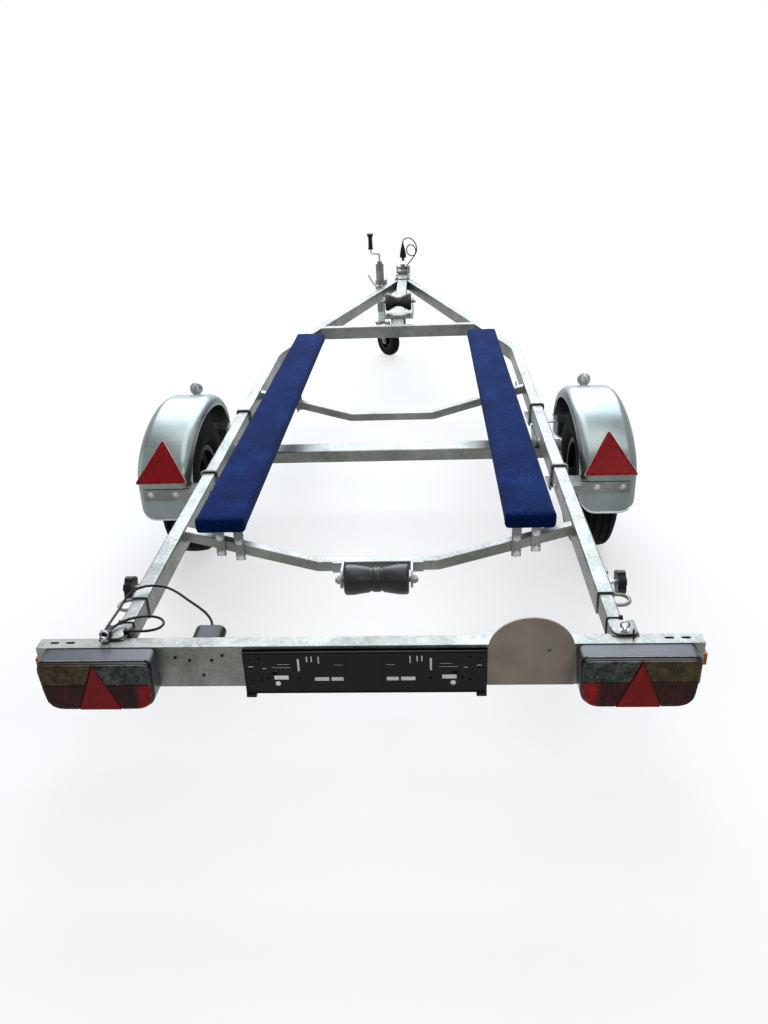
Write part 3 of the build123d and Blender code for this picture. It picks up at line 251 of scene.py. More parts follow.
def moulded_black(name, colour, roughness, grain_mm=0.8, strength=0.15, shine=0.18):
    """Black thermoplastic or rubber from a mould: fine grain that breaks up its gloss."""
    material, tree, shader = finish_of(name, specular_ior_level=shine)
    place = coordinates(tree)
    grain = add(tree, "TexNoise", {"Scale": 1 / (grain_mm * MM), "Detail": 2.0}, place)
    wear = add(tree, "TexNoise", {"Scale": 1 / (45 * MM), "Detail": 5.0}, place)
    lift = "#%02X%02X%02X" % tuple(min(255, int(int(colour[i:i + 2], 16) * 1.4) + 4) for i in (1, 3, 5))
    tone = add(tree, "ValToRGB", {"stops": [(0.35, colour), (0.75, lift)]}, wear)
    dull = add(tree, "MapRange", {"To Min": roughness - 0.08, "To Max": roughness + 0.1}, wear)
    relief = add(tree, "Bump", {"Strength": strength, "Distance": 0.3 * MM}, [("Height", grain)])
    feed(tree, shader, [("Base Color", tone), ("Roughness", dull), ("Normal", relief)])
    return material


def needled_carpet():
    """Needle-punched marine carpet: navy fibres with a few pale ones, in a matted pile."""
    material, tree, shader = finish_of("needle_punched_polyester_carpet", roughness=0.95,
                                       specular_ior_level=0.05, sheen_weight=0.03, sheen_roughness=0.5)
    place = coordinates(tree)
    fibres = add(tree, "TexNoise", {"Scale": 1 / (3 * MM), "Detail": 6.0, "Roughness": 0.7}, place)
    tufts = add(tree, "TexVoronoi", {"Scale": 1 / (6 * MM)}, place)
    patches = add(tree, "TexNoise", {"Scale": 1 / (90 * MM), "Detail": 3.0}, place)
    blend = add(tree, "Math", {"operation": "MULTIPLY_ADD", 1: 0.25}, [(0, patches), (2, fibres)])
    stops = [(0.40, "#020B22"), (0.58, "#051C4C"), (0.74, "#0A2E6C"), (0.83, "#4A74B4")]
    tone = add(tree, "ValToRGB", {"stops": stops}, blend)
    pile = add(tree, "Math", {"operation": "SUBTRACT"}, [(0, fibres), (1, tufts.outputs["Distance"])])
    relief = add(tree, "Bump", {"Strength": 0.6, "Distance": 2.0 * MM}, [("Height", pile)])
    feed(tree, shader, [("Base Color", tone), ("Normal", relief)])
    return material


def moulded_lens(name, inner, outer=None, edge=0.571, pitch=3.0 * MM):
    """Injection-moulded acrylic: a dark depth with painted glints, random light cells that stand in for
    sparks of reflected light, small prisms and a glossy skin.

    The pairs of tones are those of the chambers nearer to and further from the middle than the edge."""
    material, tree, shader = finish_of(name, ior=1.49, coat_weight=0.05, coat_roughness=0.04, roughness=0.2,
                                       specular_ior_level=0.12)
    place = coordinates(tree)
    cloud = add(tree, "TexNoise", {"Scale": 1 / (22 * MM), "Detail": 4.0}, place)
    # Painted glints: light cells in the colour stand in for sparks of light reflected inside the lens.
    painted_glints = add(tree, "TexVoronoi", {"Scale": 1 / (5 * MM)}, place)
    split = add(tree, "SeparateColor", {}, painted_glints.outputs["Color"])
    depth = add(tree, "Math", {"operation": "MULTIPLY_ADD", 1: 0.3}, [(0, split), (2, cloud)])
    tones = [add(tree, "ValToRGB", {"stops": [(0.45, deep), (0.95, light)]}, depth)
             for deep, light in (inner, outer or inner)]
    axes = add(tree, "SeparateXYZ", {}, place)
    across = add(tree, "Math", {"operation": "ABSOLUTE"}, [(0, axes.outputs["X"])])
    beyond = add(tree, "MapRange", {"From Min": edge - 6 * MM, "From Max": edge + 6 * MM}, across)
    chamber = add(tree, "Mix", {"data_type": "RGBA"}, [("Factor", beyond), ("A", tones[0]), ("B", tones[1])])
    squares = {"Scale": 1 / pitch, "feature": "F1", "distance": "CHEBYCHEV", "Randomness": 0.0}
    facets = add(tree, "TexVoronoi", squares, place)
    relief = add(tree, "Bump", {"Strength": 0.3, "Distance": 0.6 * MM},
                 [("Height", facets.outputs["Distance"])])
    feed(tree, shader, [("Base Color", chamber), ("Normal", relief)])
    return material


def plain_plate_enamel():
    """Bare plate in a dull brownish grey: slight cloudiness and small scuffs."""
    material, tree, shader = finish_of("dull_coated_aluminium_plate", roughness=0.5)
    place = coordinates(tree)
    cloud = add(tree, "TexNoise", {"Scale": 1 / (60 * MM), "Detail": 6.0}, place)
    scuffs = add(tree, "TexNoise", {"Scale": 1 / (4 * MM), "Detail": 3.0}, place)
    tone = add(tree, "ValToRGB", {"stops": [(0.3, "#93877A"), (0.7, "#AA9D8C")]}, cloud)
    dull = add(tree, "MapRange", {"To Min": 0.4, "To Max": 0.62}, scuffs)
    feed(tree, shader, [("Base Color", tone), ("Roughness", dull)])
    return material


FINISHES = {
    "galvanised": galvanised_steel("hot_dip_galvanised_steel", "#63655E", "#8D908B", 7, 0.4),
    "zinc_sheet": pressed_zinc_sheet(),
    "bright_zinc": galvanised_steel("bright_zinc_plated_steel", "#9BA1A3", "#CDD2D4", 2, 0.28),
    "weld": galvanised_steel("galvanised_weld_metal", "#6D716E", "#9A9F9C", 3, 0.45),
    "tyre": moulded_black("vulcanised_tyre_rubber", "#090909", 0.75, 1.2, 0.25, 0.1),
    "rim": moulded_black("black_enamelled_rim_steel", "#101113", 0.4),
    "rubber": moulded_black("moulded_roller_rubber", "#0F1110", 0.36, shine=0.35),
    "plastic": moulded_black("moulded_black_abs", "#060609", 0.34),
    "housing": moulded_black("moulded_slate_grey_abs", "#262A31", 0.34, 1.0, 0.1, 0.4),
    "sheath": moulded_black("extruded_pvc_sheath", "#0B0B0C", 0.42, 0.5, 0.08),
    "carpet": needled_carpet(),
    "lens_clear": moulded_lens("moulded_smoky_acrylic", ("#1A1F18", "#6E786F"), ("#2E2410", "#6E5C34")),
    "lens_red": moulded_lens("moulded_red_acrylic", ("#7A0208", "#C60A16"), ("#160203", "#560409"), 0.485),
    "reflector": moulded_lens("moulded_red_reflector", ("#84020A", "#A6060F"), pitch=2 * MM),
    "lens_depth": moulded_black("smoked_acrylic_lens_base", "#120404", 0.3),
    "lens_amber": moulded_lens("moulded_amber_acrylic", ("#A34E06", "#E88B1E")),
    "lens_white": moulded_lens("moulded_clear_acrylic", ("#AEB4B2", "#EDEFEE")),
    # Pale pink-white for the triangles' backing: a painted highlight along the reflectors' edges.
    "painted_edge_highlight": moulded_lens("pink_white_painted_edge_highlight", ("#D9A9A6", "#F2D9D6")),
    "plain_plate": plain_plate_enamel(),
}

# The finish of every piece of the frame that is shown as it is.
NODE_FINISH = {
    "galvanised": (
        "rail_left", "rail_right", "drawbar", "cross_tube_front", "cross_tube_middle", "cross_tube_rear",
        "axle_beam", "swing_arms", "guard_carriers", "bunk_clamps", "keel_roller_bracket",
        "bow_roller_bracket", "jockey_clamp", "jockey_outer_tube", "jockey_fork", "light_beam",
        "light_arms", "lashing_loops", "coupling_head",
    ),
    "zinc_sheet": ("mudguard_left", "mudguard_right"),
    "bright_zinc": ("jockey_leg", "jockey_crank", "jockey_clamp_lever", "hand_screws", "coupling_lever"),
    "tyre": ("tyre_left", "tyre_right", "jockey_wheel_tyre"),
    "rim": ("rim_left", "rim_right"),
    "rubber": ("keel_roller", "bow_roller"),
    "plastic": ("plate_holder", "junction_box", "hand_wheels", "jockey_crank_grip", "jockey_wheel_rim"),
    "housing": ("lamp_housings",),
    "carpet": ("bunk_left", "bunk_right"),
    "lens_clear": ("lenses_clear",),
    "lens_red": ("lenses_red",),
    "reflector": ("triangles",),
    "lens_amber": ("side_markers",),
    "lens_white": ("marker_lamps",),
    "plain_plate": ("arch_plate",),
}


def finish_frame():
    """Give each shown piece of the frame its finish."""
    for finish, names in NODE_FINISH.items():
        for name in names:
            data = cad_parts[name].data
            data.materials.clear()
            data.materials.append(FINISHES[finish])


# ---- making pieces ----
def at(x, y, z):
    """A point given in millimetres, Y as a station."""
    return Vector((x * MM, station(y), z * MM))


def show(name, data, finish, body="frame", replaced=()):
    """Put a mesh or curve on its body, with its finish, in place of the nodes it replaces."""
    data.materials.clear()
    data.materials.append(FINISHES[finish])
    made = put(name, data)
    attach(made, body)
    if replaced:
        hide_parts(*replaced)
    return made


def mesh_of(name, parts, crease, clean):
    """One mesh from (points, faces) parts, smooth with crisp edges; clean joins points that meet."""
    points, faces = [], []
    for part_points, part_faces in parts:
        first = len(points)
        points += [tuple(p) for p in part_points]
        faces += [tuple(first + i for i in face) for face in part_faces]
    data = bpy.data.meshes.new(name)
    data.from_pydata(points, [], faces)
    form = bmesh.new()
    form.from_mesh(data)
    if clean:
        bmesh.ops.remove_doubles(form, verts=form.verts, dist=0.02 * MM)
        bmesh.ops.dissolve_degenerate(form, edges=form.edges, dist=0.02 * MM)
        loose = [v for v in form.verts if not v.link_faces]
        bmesh.ops.delete(form, geom=loose, context="VERTS")
    bmesh.ops.recalc_face_normals(form, faces=form.faces)
    for face in form.faces:
        face.smooth = True
    for edge in form.edges:
        edge.smooth = edge.calc_face_angle(0) < math.radians(crease)
    form.to_mesh(data)
    form.free()
    return data


def piece(name, parts, finish, body="frame", replaced=(), crease=35, clean=False):
    """Show one mesh of parts under its name."""
    return show(name, mesh_of(name, parts, crease, clean), finish, body, replaced)


def both(parts):
    """The parts as drawn for the right side, and their mirror images."""
    return parts + [([(-p[0], p[1], p[2]) for p in points], [tuple(reversed(f)) for f in faces])
                    for points, faces in parts]


def lathe(profile, start, axis, steps=20):
    """Turned form from a start point: pairs of distance along the axis and radius, in millimetres."""
    axis = Vector(axis).normalized()
    u = axis.orthogonal().normalized()
    v = axis.cross(u)
    points, faces, rings = [], [], []
    for along, radius in profile:
        centre = start + axis * along * MM
        first = len(points)
        if radius == 0:
            points.append(centre)
            rings.append([first] * steps)
            continue
        for k in range(steps):
            turn = math.tau * k / steps
            points.append(centre + (u * math.cos(turn) + v * math.sin(turn)) * radius * MM)
        rings.append(list(range(first, first + steps)))
    for a, b in zip(rings, rings[1:]):
        for k in range(steps):
            n = (k + 1) % steps
            corner = [a[k], a[n], b[n], b[k]]
            faces.append(tuple(c for i, c in enumerate(corner) if c not in corner[:i]))
    return points, faces


def bolt_head(start, axis, radius=7.5, height=5.5):
    """Chamfered hexagon head standing on a plain washer."""
    washer = [(0, 0), (0, radius * 1.25), (1.0, radius * 1.3), (1.6, radius * 1.2), (1.6, 0)]
    head = [(1.6, 0), (1.6, radius), (height * 0.85, radius), (height, radius * 0.84), (height, 0)]
    return [lathe(washer, start, axis, 24), lathe(head, start, axis, 6)]


def dome_head(start, axis, radius=6, height=3.4):
    """Low domed head on a thin washer."""
    arc = [(1 + height * math.sin(a), radius * math.cos(a)) for a in (0, 0.35, 0.7, 1.05, 1.35)]
    washer = [(0, 0), (0, radius * 1.2), (1.0, radius * 1.2), (1.0, radius)]
    return [lathe(washer + arc + [(1 + height, 0)], start, axis)]


def run(points, radius, steps=8, closed=False, ripple=0.0, pitch=2.2):
    """Round bar along points; with a ripple it is a row of small overlapping beads, as a weld is."""
    if ripple:
        fine = []
        for a, b in zip(points, points[1:]):
            count = max(2, int((b - a).length / (pitch * MM / 4)))
            fine += [a.lerp(b, i / count) for i in range(count)]
        points = fine + [points[-1]]
    count = len(points)
    tangents = []
    for i in range(count):
        before = points[i - 1] if i or closed else points[0]
        after = points[(i + 1) % count] if i < count - 1 or closed else points[-1]
        tangents.append((after - before).normalized())
    side = tangents[0].orthogonal().normalized()
    verts, faces = [], []
    for i, (here, along) in enumerate(zip(points, tangents)):
        side = (side - along * side.dot(along)).normalized()
        other = along.cross(side)
        size = radius * MM * (1 + ripple * math.sin(math.tau * i / 4))
        if not closed and i in (0, count - 1):
            size *= 0.7
        for k in range(steps):
            turn = math.tau * k / steps
            verts.append(here + (side * math.cos(turn) + other * math.sin(turn)) * size)
    for i in range(count if closed else count - 1):
        for k in range(steps):
            n, j = (k + 1) % steps, (i + 1) % count
            faces.append((i * steps + k, i * steps + n, j * steps + n, j * steps + k))
    if not closed:
        faces += [tuple(range(steps)), tuple(range(len(verts) - steps, len(verts)))]
    return verts, faces


def circle(centre, u, v, steps):
    """Closed line round a centre; u and v are its half axes, all in millimetres."""
    turns = [math.tau * k / steps for k in range(steps)]
    return [at(*(c + a * math.cos(t) + b * math.sin(t) for c, a, b in zip(centre, u, v))) for t in turns]


def eased_block(low, high, ease=1.5, segments=2):
    """Block between two corners, in millimetres with Y as a station, with rounded edges."""
    a, b = at(*low), at(*high)
    form = bmesh.new()
    bmesh.ops.create_cube(form, size=1)
    for vertex in form.verts:
        vertex.co = Vector(tuple((a[i] + b[i]) / 2 + vertex.co[i] * abs(b[i] - a[i]) for i in range(3)))
    bmesh.ops.bevel(form, geom=form.edges[:], offset=ease * MM, segments=segments, profile=0.5,
                    affect="EDGES")
    form.verts.index_update()
    made = [v.co.copy() for v in form.verts], [tuple(v.index for v in f.verts) for f in form.faces]
    form.free()
    return made


def slab(outline, out, depth, ease=1.2):
    """Moulded slab behind a convex outline of points, its front edge eased."""
    count = len(outline)
    middle = sum(outline, Vector()) / count
    inner = []
    for i, here in enumerate(outline):
        inward = (outline[(i + 1) % count] - outline[i - 1]).normalized().cross(out)
        if inward.dot(middle - here) < 0:
            inward = -inward
        inner.append(here + inward * ease * MM)
    rings = ([p - out * depth * MM for p in outline], [p - out * ease * MM for p in outline], inner)
    faces = [tuple(range(count)), tuple(range(2 * count, 3 * count))]
    for first in (0, count):
        for i in range(count):
            n = first + (i + 1) % count
            faces.append((first + i, n, n + count, first + i + count))
    return [p for ring in rings for p in ring], faces


def pierced_plate(low, high, front, back, openings):
    """Plate between two (x, z) corners with square openings (x0, x1, z0, z1) right through it."""
    xs = sorted({low[0], high[0]} | {edge for o in openings for edge in o[:2]})
    zs = sorted({low[1], high[1]} | {edge for o in openings for edge in o[2:]})

    def open_at(x, z):
        return any(o[0] < x < o[1] and o[2] < z < o[3] for o in openings)

    solid = {(i, j) for i in range(len(xs) - 1) for j in range(len(zs) - 1)
             if not open_at((xs[i] + xs[i + 1]) / 2, (zs[j] + zs[j + 1]) / 2)}
    points = [at(x, y, z) for y in (front, back) for x in xs for z in zs]
    layer, rows = len(xs) * len(zs), len(zs)
    faces = []
    for i, j in sorted(solid):
        a, b = i * rows + j, (i + 1) * rows + j
        c, d = b + 1, a + 1
        faces += [(a, b, c, d), (a + layer, d + layer, c + layer, b + layer)]
        walls = (((i - 1, j), d, a), ((i + 1, j), b, c), ((i, j - 1), a, b), ((i, j + 1), c, d))
        faces += [(p, q, q + layer, p + layer) for beside, p, q in walls if beside not in solid]
    return points, faces


def rounded(points, radius, steps=5):
    """A closed line of points with its corners rounded off; the radius may differ from corner to corner."""
    line = []
    count = len(points)
    radii = radius if isinstance(radius, tuple) else (radius,) * count
    for i, here in enumerate(points):
        before, after = points[i - 1], points[(i + 1) % count]
        a = here + (before - here).normalized() * radii[i] * MM
        b = here + (after - here).normalized() * radii[i] * MM
        for k in range(steps + 1):
            t = k / steps
            line.append(a * (1 - t) ** 2 + here * 2 * t * (1 - t) + b * t ** 2)
    return line


# ---- leads ----
PLUG_XY, POST_FOOT, PLUG_FOOT, PLUG_TOP = (1, 4296), 473, 522, 605
# Points of each lead, chosen one by one from where it leaves the trailer.
PLUG_LEAD = (
    (22, 4196, 460), (22.5, 4198, 480), (38, 4211, 500), (64, 4227, 525), (85, 4240, 555), (86, 4247, 586),
    (66, 4251, 609), (37, 4254, 607), (24, 4258, 580), (32, 4262, 550), (59, 4267, 533), (84, 4271, 545),
    (93, 4276, 573), (89, 4281, 603), (72, 4286, 632), (45, 4291, 648), (16, 4295, 644), (1, 4296, 627),
    (1, 4296, 606),
)
BOX_LEAD = (
    (-575, 48, 445), (-575, 72, 445), (-575.5, 106, 442), (-575, 142, 440), (-575, 178, 440),
    (-569, 208, 446), (-550, 230, 449), (-521, 238, 449), (-488, 234, 447), (-456, 214, 444),
    (-424, 184, 441), (-395, 162, 436), (-370, 145, 426), (-353, 123, 414), (-352, 95, 412),
)
FOOT_LEAD = (
    (-564, 48, 445), (-563, 60, 445), (-553, 78, 446), (-536, 96, 446), (-512, 106, 446), (-486, 109, 445),
    (-463, 101, 444), (-450, 83, 443), (-455, 61, 444), (-476, 51, 444), (-497, 49, 444.5), (-518, 50, 445),
)


def lead(name, points, diameter, body):
    """A lead on one smooth line, from where it leaves the trailer to its far end."""
    curve = bpy.data.curves.new(name, "CURVE")
    curve.dimensions = "3D"
    curve.bevel_depth = diameter / 2 * MM
    curve.bevel_resolution = 4
    curve.resolution_u = 10
    curve.use_fill_caps = True
    spline = curve.splines.new("NURBS")
    spline.points.add(len(points) - 1)
    for point, place in zip(spline.points, points):
        point.co = (*at(*place), 1.0)
    spline.order_u = 3
    spline.use_endpoint_u = True
    made = show(name, curve, "sheath", body)
    made.name = name + "_line"


def strain_relief(name, start, axis, body, length=22, thick=6.6, thin=4.4):
    """Tapered rubber sleeve round a lead where it enters a housing, with moulded rings."""
    rings = 5
    profile = [(0, 0), (0, thick)]
    for k in range(rings):
        a = length * (k + 0.35) / rings
        radius = thick + (thin - thick) * (k + 0.5) / rings
        profile += [(a, radius), (a + 0.8, radius - 0.9), (a + 1.8, radius - 0.9), (a + 2.4, radius - 0.2)]
    profile += [(length, thin), (length, 0)]
    return piece(name, [lathe(profile, at(*start), axis)], "rubber", body, crease=50)


def stand_plug():
    """Round trailer plug parked on its post over the coupling's head, with moulded grip rings."""
    post = lathe([(0, 0), (0, 15), (3, 15), (4, 8), (52, 8), (52, 0)], at(*PLUG_XY, POST_FOOT), (0, 0, 1))
    piece("plug_post", [post], "plastic")
    profile = [(0, 0), (0, 19), (2, 21), (26, 21), (27, 18.5), (30, 18.5), (31, 20), (36, 20), (37, 17.5)]
    for ring in range(5):
        along, radius = 40 + ring * 5, 16.5 - ring
        profile += [(along, radius), (along + 1, radius + 1), (along + 3.5, radius + 1)]
    profile += [(68, 10), (82, 8), (84, 7), (84, 0)]
    return piece("parked_plug", [lathe(profile, at(*PLUG_XY, PLUG_FOOT), (0, 0, 1), 28)], "plastic")


def lay_leads():
    """The three leads with the sleeves at their ends."""
    gland = strain_relief("gland_sleeve", (22, 4196, 459.5), (0.03, 0.1, 1), "frame")
    boot = strain_relief("plug_boot", (*PLUG_XY, PLUG_TOP), (0, 0, 1), "frame", 18)
    box = strain_relief("box_sleeve", (-352, 94.5, 412), (0, 1, 0), "light_board")
    plug = stand_plug()
    lead("plug_lead", PLUG_LEAD, 7, "frame")
    lead("box_lead", BOX_LEAD, 6, "light_board")
    lead("foot_lead", FOOT_LEAD, 6, "light_board")


# ---- bunks ----
BUNK_X, BUNK_W, BUNK_T, BUNK_CORNER = 402, 137, 45, 14
BUNK_REAR, BUNK_FRONT = (453, 515), (2500, 486)      # station and height of the top, at each end
PAD_IN = 2.0            # how much smaller the pad starts than its board, so that it can swell
PAD_SWELL = 2.2         # the most that the carpet stands off
PAD_VOXEL = 6.0


def keep_form(pad):
    """Give the pad for good the form that its modifiers have made."""
    made = bpy.data.meshes.new_from_object(pad.evaluated_get(bpy.context.evaluated_depsgraph_get()))
    pad.modifiers.clear()
    pad.data = made


def carpet_form():
    """A board's carpet in its own place, level and centred: taut on top, soft at its edges."""
    length = math.hypot(BUNK_FRONT[0] - BUNK_REAR[0], BUNK_FRONT[1] - BUNK_REAR[1])
    half = (BUNK_W / 2 - PAD_IN, length / 2 - PAD_IN, BUNK_T / 2 - PAD_IN)
    form = bmesh.new()
    bmesh.ops.create_cube(form, size=2)
    for vertex in form.verts:
        vertex.co = Vector(tuple(vertex.co[i] * half[i] * MM for i in range(3)))
    upright = [e for e in form.edges if abs(e.verts[0].co.z - e.verts[1].co.z) > MM]
    bmesh.ops.bevel(form, geom=upright, offset=BUNK_CORNER * MM, segments=6, profile=0.5, affect="EDGES")
    rims = [e for e in form.edges if len(e.link_faces) == 2 and e.calc_face_angle(0) > 1.2]
    bmesh.ops.bevel(form, geom=rims, offset=7 * MM, segments=4, profile=0.5, affect="EDGES")
    data = bpy.data.meshes.new("carpet_form")
    form.to_mesh(data)
    form.free()
    pad = put("carpet_form", data)
    voxels = pad.modifiers.new("voxels", "REMESH")
    voxels.mode = "VOXEL"
    voxels.voxel_size = PAD_VOXEL * MM
    bpy.context.view_layer.update()
    keep_form(pad)
    rest = [v.co.copy() for v in pad.data.vertices]
    swell(pad)
    random.seed(4)
    lowest = -BUNK_T / 2 * MM
    for vertex, start in zip(pad.data.vertices, rest):
        move = vertex.co - start
        if move.length > PAD_SWELL * MM:
            move = move.normalized() * PAD_SWELL * MM
        tuft = noise.noise(start * 60) * 0.5 + random.uniform(-0.22, 0.22)
        place = start + move + Vector((0, 0, 1 if start.z > 0 else 0)) * tuft * MM
        place.z = max(place.z, lowest)
        vertex.co = place
    made = pad.data
    bpy.data.objects.remove(pad)
    return made


def swell(pad):
    """Blow the pad up a little, as carpet glued over a board stands off it."""
    cloth = pad.modifiers.new("cloth", "CLOTH")
    cloth.settings.use_pressure = True
    cloth.settings.uniform_pressure_force = 4
    cloth.settings.effector_weights.gravity = 0
    cloth.point_cache.frame_start, cloth.point_cache.frame_end = 1, 20
    for step in range(1, 21):
        bpy.context.scene.frame_set(step)
    keep_form(pad)
    bpy.context.scene.frame_set(1)


def cover_bunks():
    """Navy carpet on the two long boards that carry the hull."""
    form = carpet_form()
    tilt = Matrix.Rotation(math.atan2(BUNK_FRONT[1] - BUNK_REAR[1], BUNK_FRONT[0] - BUNK_REAR[0]), 4, "X")
    middle = [(a + b) / 2 for a, b in zip(BUNK_REAR, BUNK_FRONT)]
    for side_name, side in SIDES.items():
        data = form.copy()
        if side < 0:
            data.transform(Matrix.Scale(-1, 4, (1, 0, 0)))
            data.flip_normals()
        data.transform(Matrix.Translation(at(side * BUNK_X, middle[0], middle[1] - BUNK_T / 2)) @ tilt)
        for polygon in data.polygons:
            polygon.use_smooth = True
        name = f"carpet_{side_name}"
        show(name, data, "carpet", replaced=[f"bunk_{side_name}"])
    bpy.data.meshes.remove(form)


DIP_TUBES = (560, 1775)      # stations of the dipped cross tubes
DIP_END_X, DIP_FLAT_X, DIP_FALL, DIP_TOP_Z, DIP_SIZE = 526, 165, 102, 436, 30
CLAMP_XS, CLAMP_HALF, CLAMP_SEAT_HALF, CLAMP_T, CLAMP_REACH, CLAMP_PAST = (376, 428), 13, 38, 6, 50, 8


def seat_bunks():
    """Clamps under the boards: a seat, two upright straps on the dipped tube and their bolts."""
    slope = DIP_FALL / (DIP_END_X - DIP_FLAT_X)
    fall = (BUNK_FRONT[1] - BUNK_REAR[1]) / (BUNK_FRONT[0] - BUNK_REAR[0])
    shank = [(0, 0), (0, 5), (DIP_SIZE + CLAMP_PAST, 5), (DIP_SIZE + CLAMP_PAST, 0)]
    steel, bolts = [], []
    for tube_y, out in zip(DIP_TUBES, (-1, 1)):
        face = tube_y + out * DIP_SIZE / 2
        ys = sorted((face, face + out * CLAMP_REACH))
        top = BUNK_REAR[1] + (ys[1] - BUNK_REAR[0]) * fall - BUNK_T - 0.4
        middle = sum(CLAMP_XS) / 2
        steel.append(eased_block((middle - CLAMP_SEAT_HALF, ys[0], top - CLAMP_T),
                                 (middle + CLAMP_SEAT_HALF, ys[1], top), 1))
        for x in CLAMP_XS:
            tube_mid = DIP_TOP_Z - DIP_SIZE / 2 - (DIP_END_X - x) * slope
            strap = sorted((face, face + out * CLAMP_T))
            steel.append(eased_block((x - CLAMP_HALF, strap[0], tube_mid - 32),
                                     (x + CLAMP_HALF, strap[1], top - 1), 1.5))
            for z in (tube_mid + 24, tube_mid - 23):
                bolts += bolt_head(at(x, face + out * CLAMP_T, z), (0, out, 0), 7.5, 6)
                bolts.append(lathe(shank, at(x, face - out * (DIP_SIZE + CLAMP_PAST), z), (0, out, 0), 12))
    piece("bunk_clamp_steel", both(steel), "galvanised", replaced=["bunk_clamps"])
    piece("bunk_clamp_bolts", both(bolts), "bright_zinc")


# ---- tyres ----
WHEEL_X, WHEEL_Y, TYRE_R = 705, 1300, 245
TREAD_PITCHES, PITCH_STEPS = 52, 6
GROOVES = ((-37, 3.2), (-13, 2.6), (13, 2.6), (37, 3.2))      # place across the tread and half width
GROOVE_DEPTH, TREAD_FROM = 5.5, 226
SIDEWALL_RINGS = ((168, 66.2), (205, 66.8))                   # radius and place across


def arc(a, m, b, steps):
    """Points on the circle through three points, without the last one."""
    (ax, ay), (mx, my), (bx, by) = a, m, b
    d = 2 * (ax * (my - by) + mx * (by - ay) + bx * (ay - my))
    sa, sm, sb = ax * ax + ay * ay, mx * mx + my * my, bx * bx + by * by
    cx = (sa * (my - by) + sm * (by - ay) + sb * (ay - my)) / d
    cy = (sa * (bx - mx) + sm * (ax - bx) + sb * (mx - ax)) / d
    r = math.hypot(ax - cx, ay - cy)
    start, turn_m, turn = (math.atan2(y - cy, x - cx) for x, y in (a, m, b))
    sweep = (turn - start) % math.tau
    if (turn_m - start) % math.tau > sweep:
        sweep -= math.tau
    return [(cx + r * math.cos(start + sweep * k / steps), cy + r * math.sin(start + sweep * k / steps))
            for k in range(steps)]


def tyre_profile():
    """Half section of a tyre from its inner bead to its outer bead: distance across and radius."""
    side = [(47, 127), (47, 141)]
    wall = arc((47, 141), (69, 187), (62, 217), 9)[1:]
    shoulder = arc((62, 217), (55, 232.7), (43, 241), 5)
    right = side + wall + shoulder
    crown = arc((43, 241), (0, 245), (-43, 241), 44)
    left = [(-x, r) for x, r in reversed(right)]
    return right + crown + [(-43, 241)] + left


def tread_depth(across, pitch_step, pitch):
    """How deep the tread is cut at a place: long grooves, slanted cuts in the shoulders, short sipes."""
    for place, half in GROOVES:
        if abs(across - place) <= half:
            return GROOVE_DEPTH
    if abs(across) > 40 and pitch_step == 0:
        return GROOVE_DEPTH * 0.8
    if abs(across) < 37 and pitch_step == (3 if pitch % 2 else 0) and abs(abs(across) - 25) < 8:
        return GROOVE_DEPTH * 0.6
    return 0.0


def tread_tyres():
    """Road tyres: ribs parted by long grooves, cut shoulders, and rings on the sidewalls."""
    profile = tyre_profile()
    turns = TREAD_PITCHES * PITCH_STEPS
    count = len(profile)
    for side_name, side in SIDES.items():
        points, faces = [], []
        for i in range(turns):
            pitch, pitch_step = divmod(i, PITCH_STEPS)
            angle = math.tau * i / turns
            for across, radius in profile:
                if radius > TREAD_FROM:
                    radius -= tread_depth(across, pitch_step, pitch)
                y = WHEEL_Y + radius * math.cos(angle)
                points.append(at(side * (WHEEL_X + across), y, TYRE_R + radius * math.sin(angle)))
            for j in range(count):
                n, k = (j + 1) % count, (i + 1) % turns
                faces.append((i * count + j, i * count + n, k * count + n, k * count + j))
        name = f"tyre_tread_{side_name}"
        rings = []
        for radius, across in SIDEWALL_RINGS:
            ring = circle((side * (WHEEL_X + across), WHEEL_Y, TYRE_R), (0, radius, 0), (0, 0, radius), 96)
            rings.append(run(ring, 1.3, 6, closed=True))
        piece(name, [(points, faces)] + rings, "tyre", f"wheel_{side_name}", [f"tyre_{side_name}"], crease=32)
        stem = lathe([(0, 0), (0, 4.5), (6, 4), (20, 3.4), (21, 4), (30, 4), (31, 0)],
                     at(side * (WHEEL_X + 22), WHEEL_Y - 112, TYRE_R), (side, 0.25, 0), 12)
        name = f"valve_stem_{side_name}"
        piece(name, [stem], "rubber", f"wheel_{side_name}")


# ---- mudguards ----
GUARD_X, GUARD_HALF, GUARD_LONG, GUARD_RISE = 709, 89, 330, 175
GUARD_SPRING, GUARD_LOW, GUARD_FLANK, GUARD_SHOULDER = 376, 264, 36, 34
GUARD_CORNER, GUARD_WALL, GUARD_BEAD_R = 50, 2, 4.0
ARCH_STEPS, SKIRT_STEPS, SHOULDER_STEPS = 72, 14, 9
BAR_T, BAR_Z = 5, 356        # the bars that carry the guards, and the height of their bolts


def guard_half(z):
    """Half width of a guard's skirt at a height: its lower corners are rounded."""
    short = GUARD_CORNER - (z - GUARD_LOW)
    return GUARD_HALF - (GUARD_CORNER - math.sqrt(GUARD_CORNER ** 2 - short ** 2) if short > 0 else 0)


def guard_depth(x, inset):
    """How far the guard's section lies inside its crown at a distance from the middle."""
    radius = GUARD_SHOULDER - inset
    past = abs(x) - (GUARD_HALF - GUARD_SHOULDER)
    return inset + (radius - math.sqrt(max(0, radius ** 2 - past ** 2)) if past > 0 else 0)


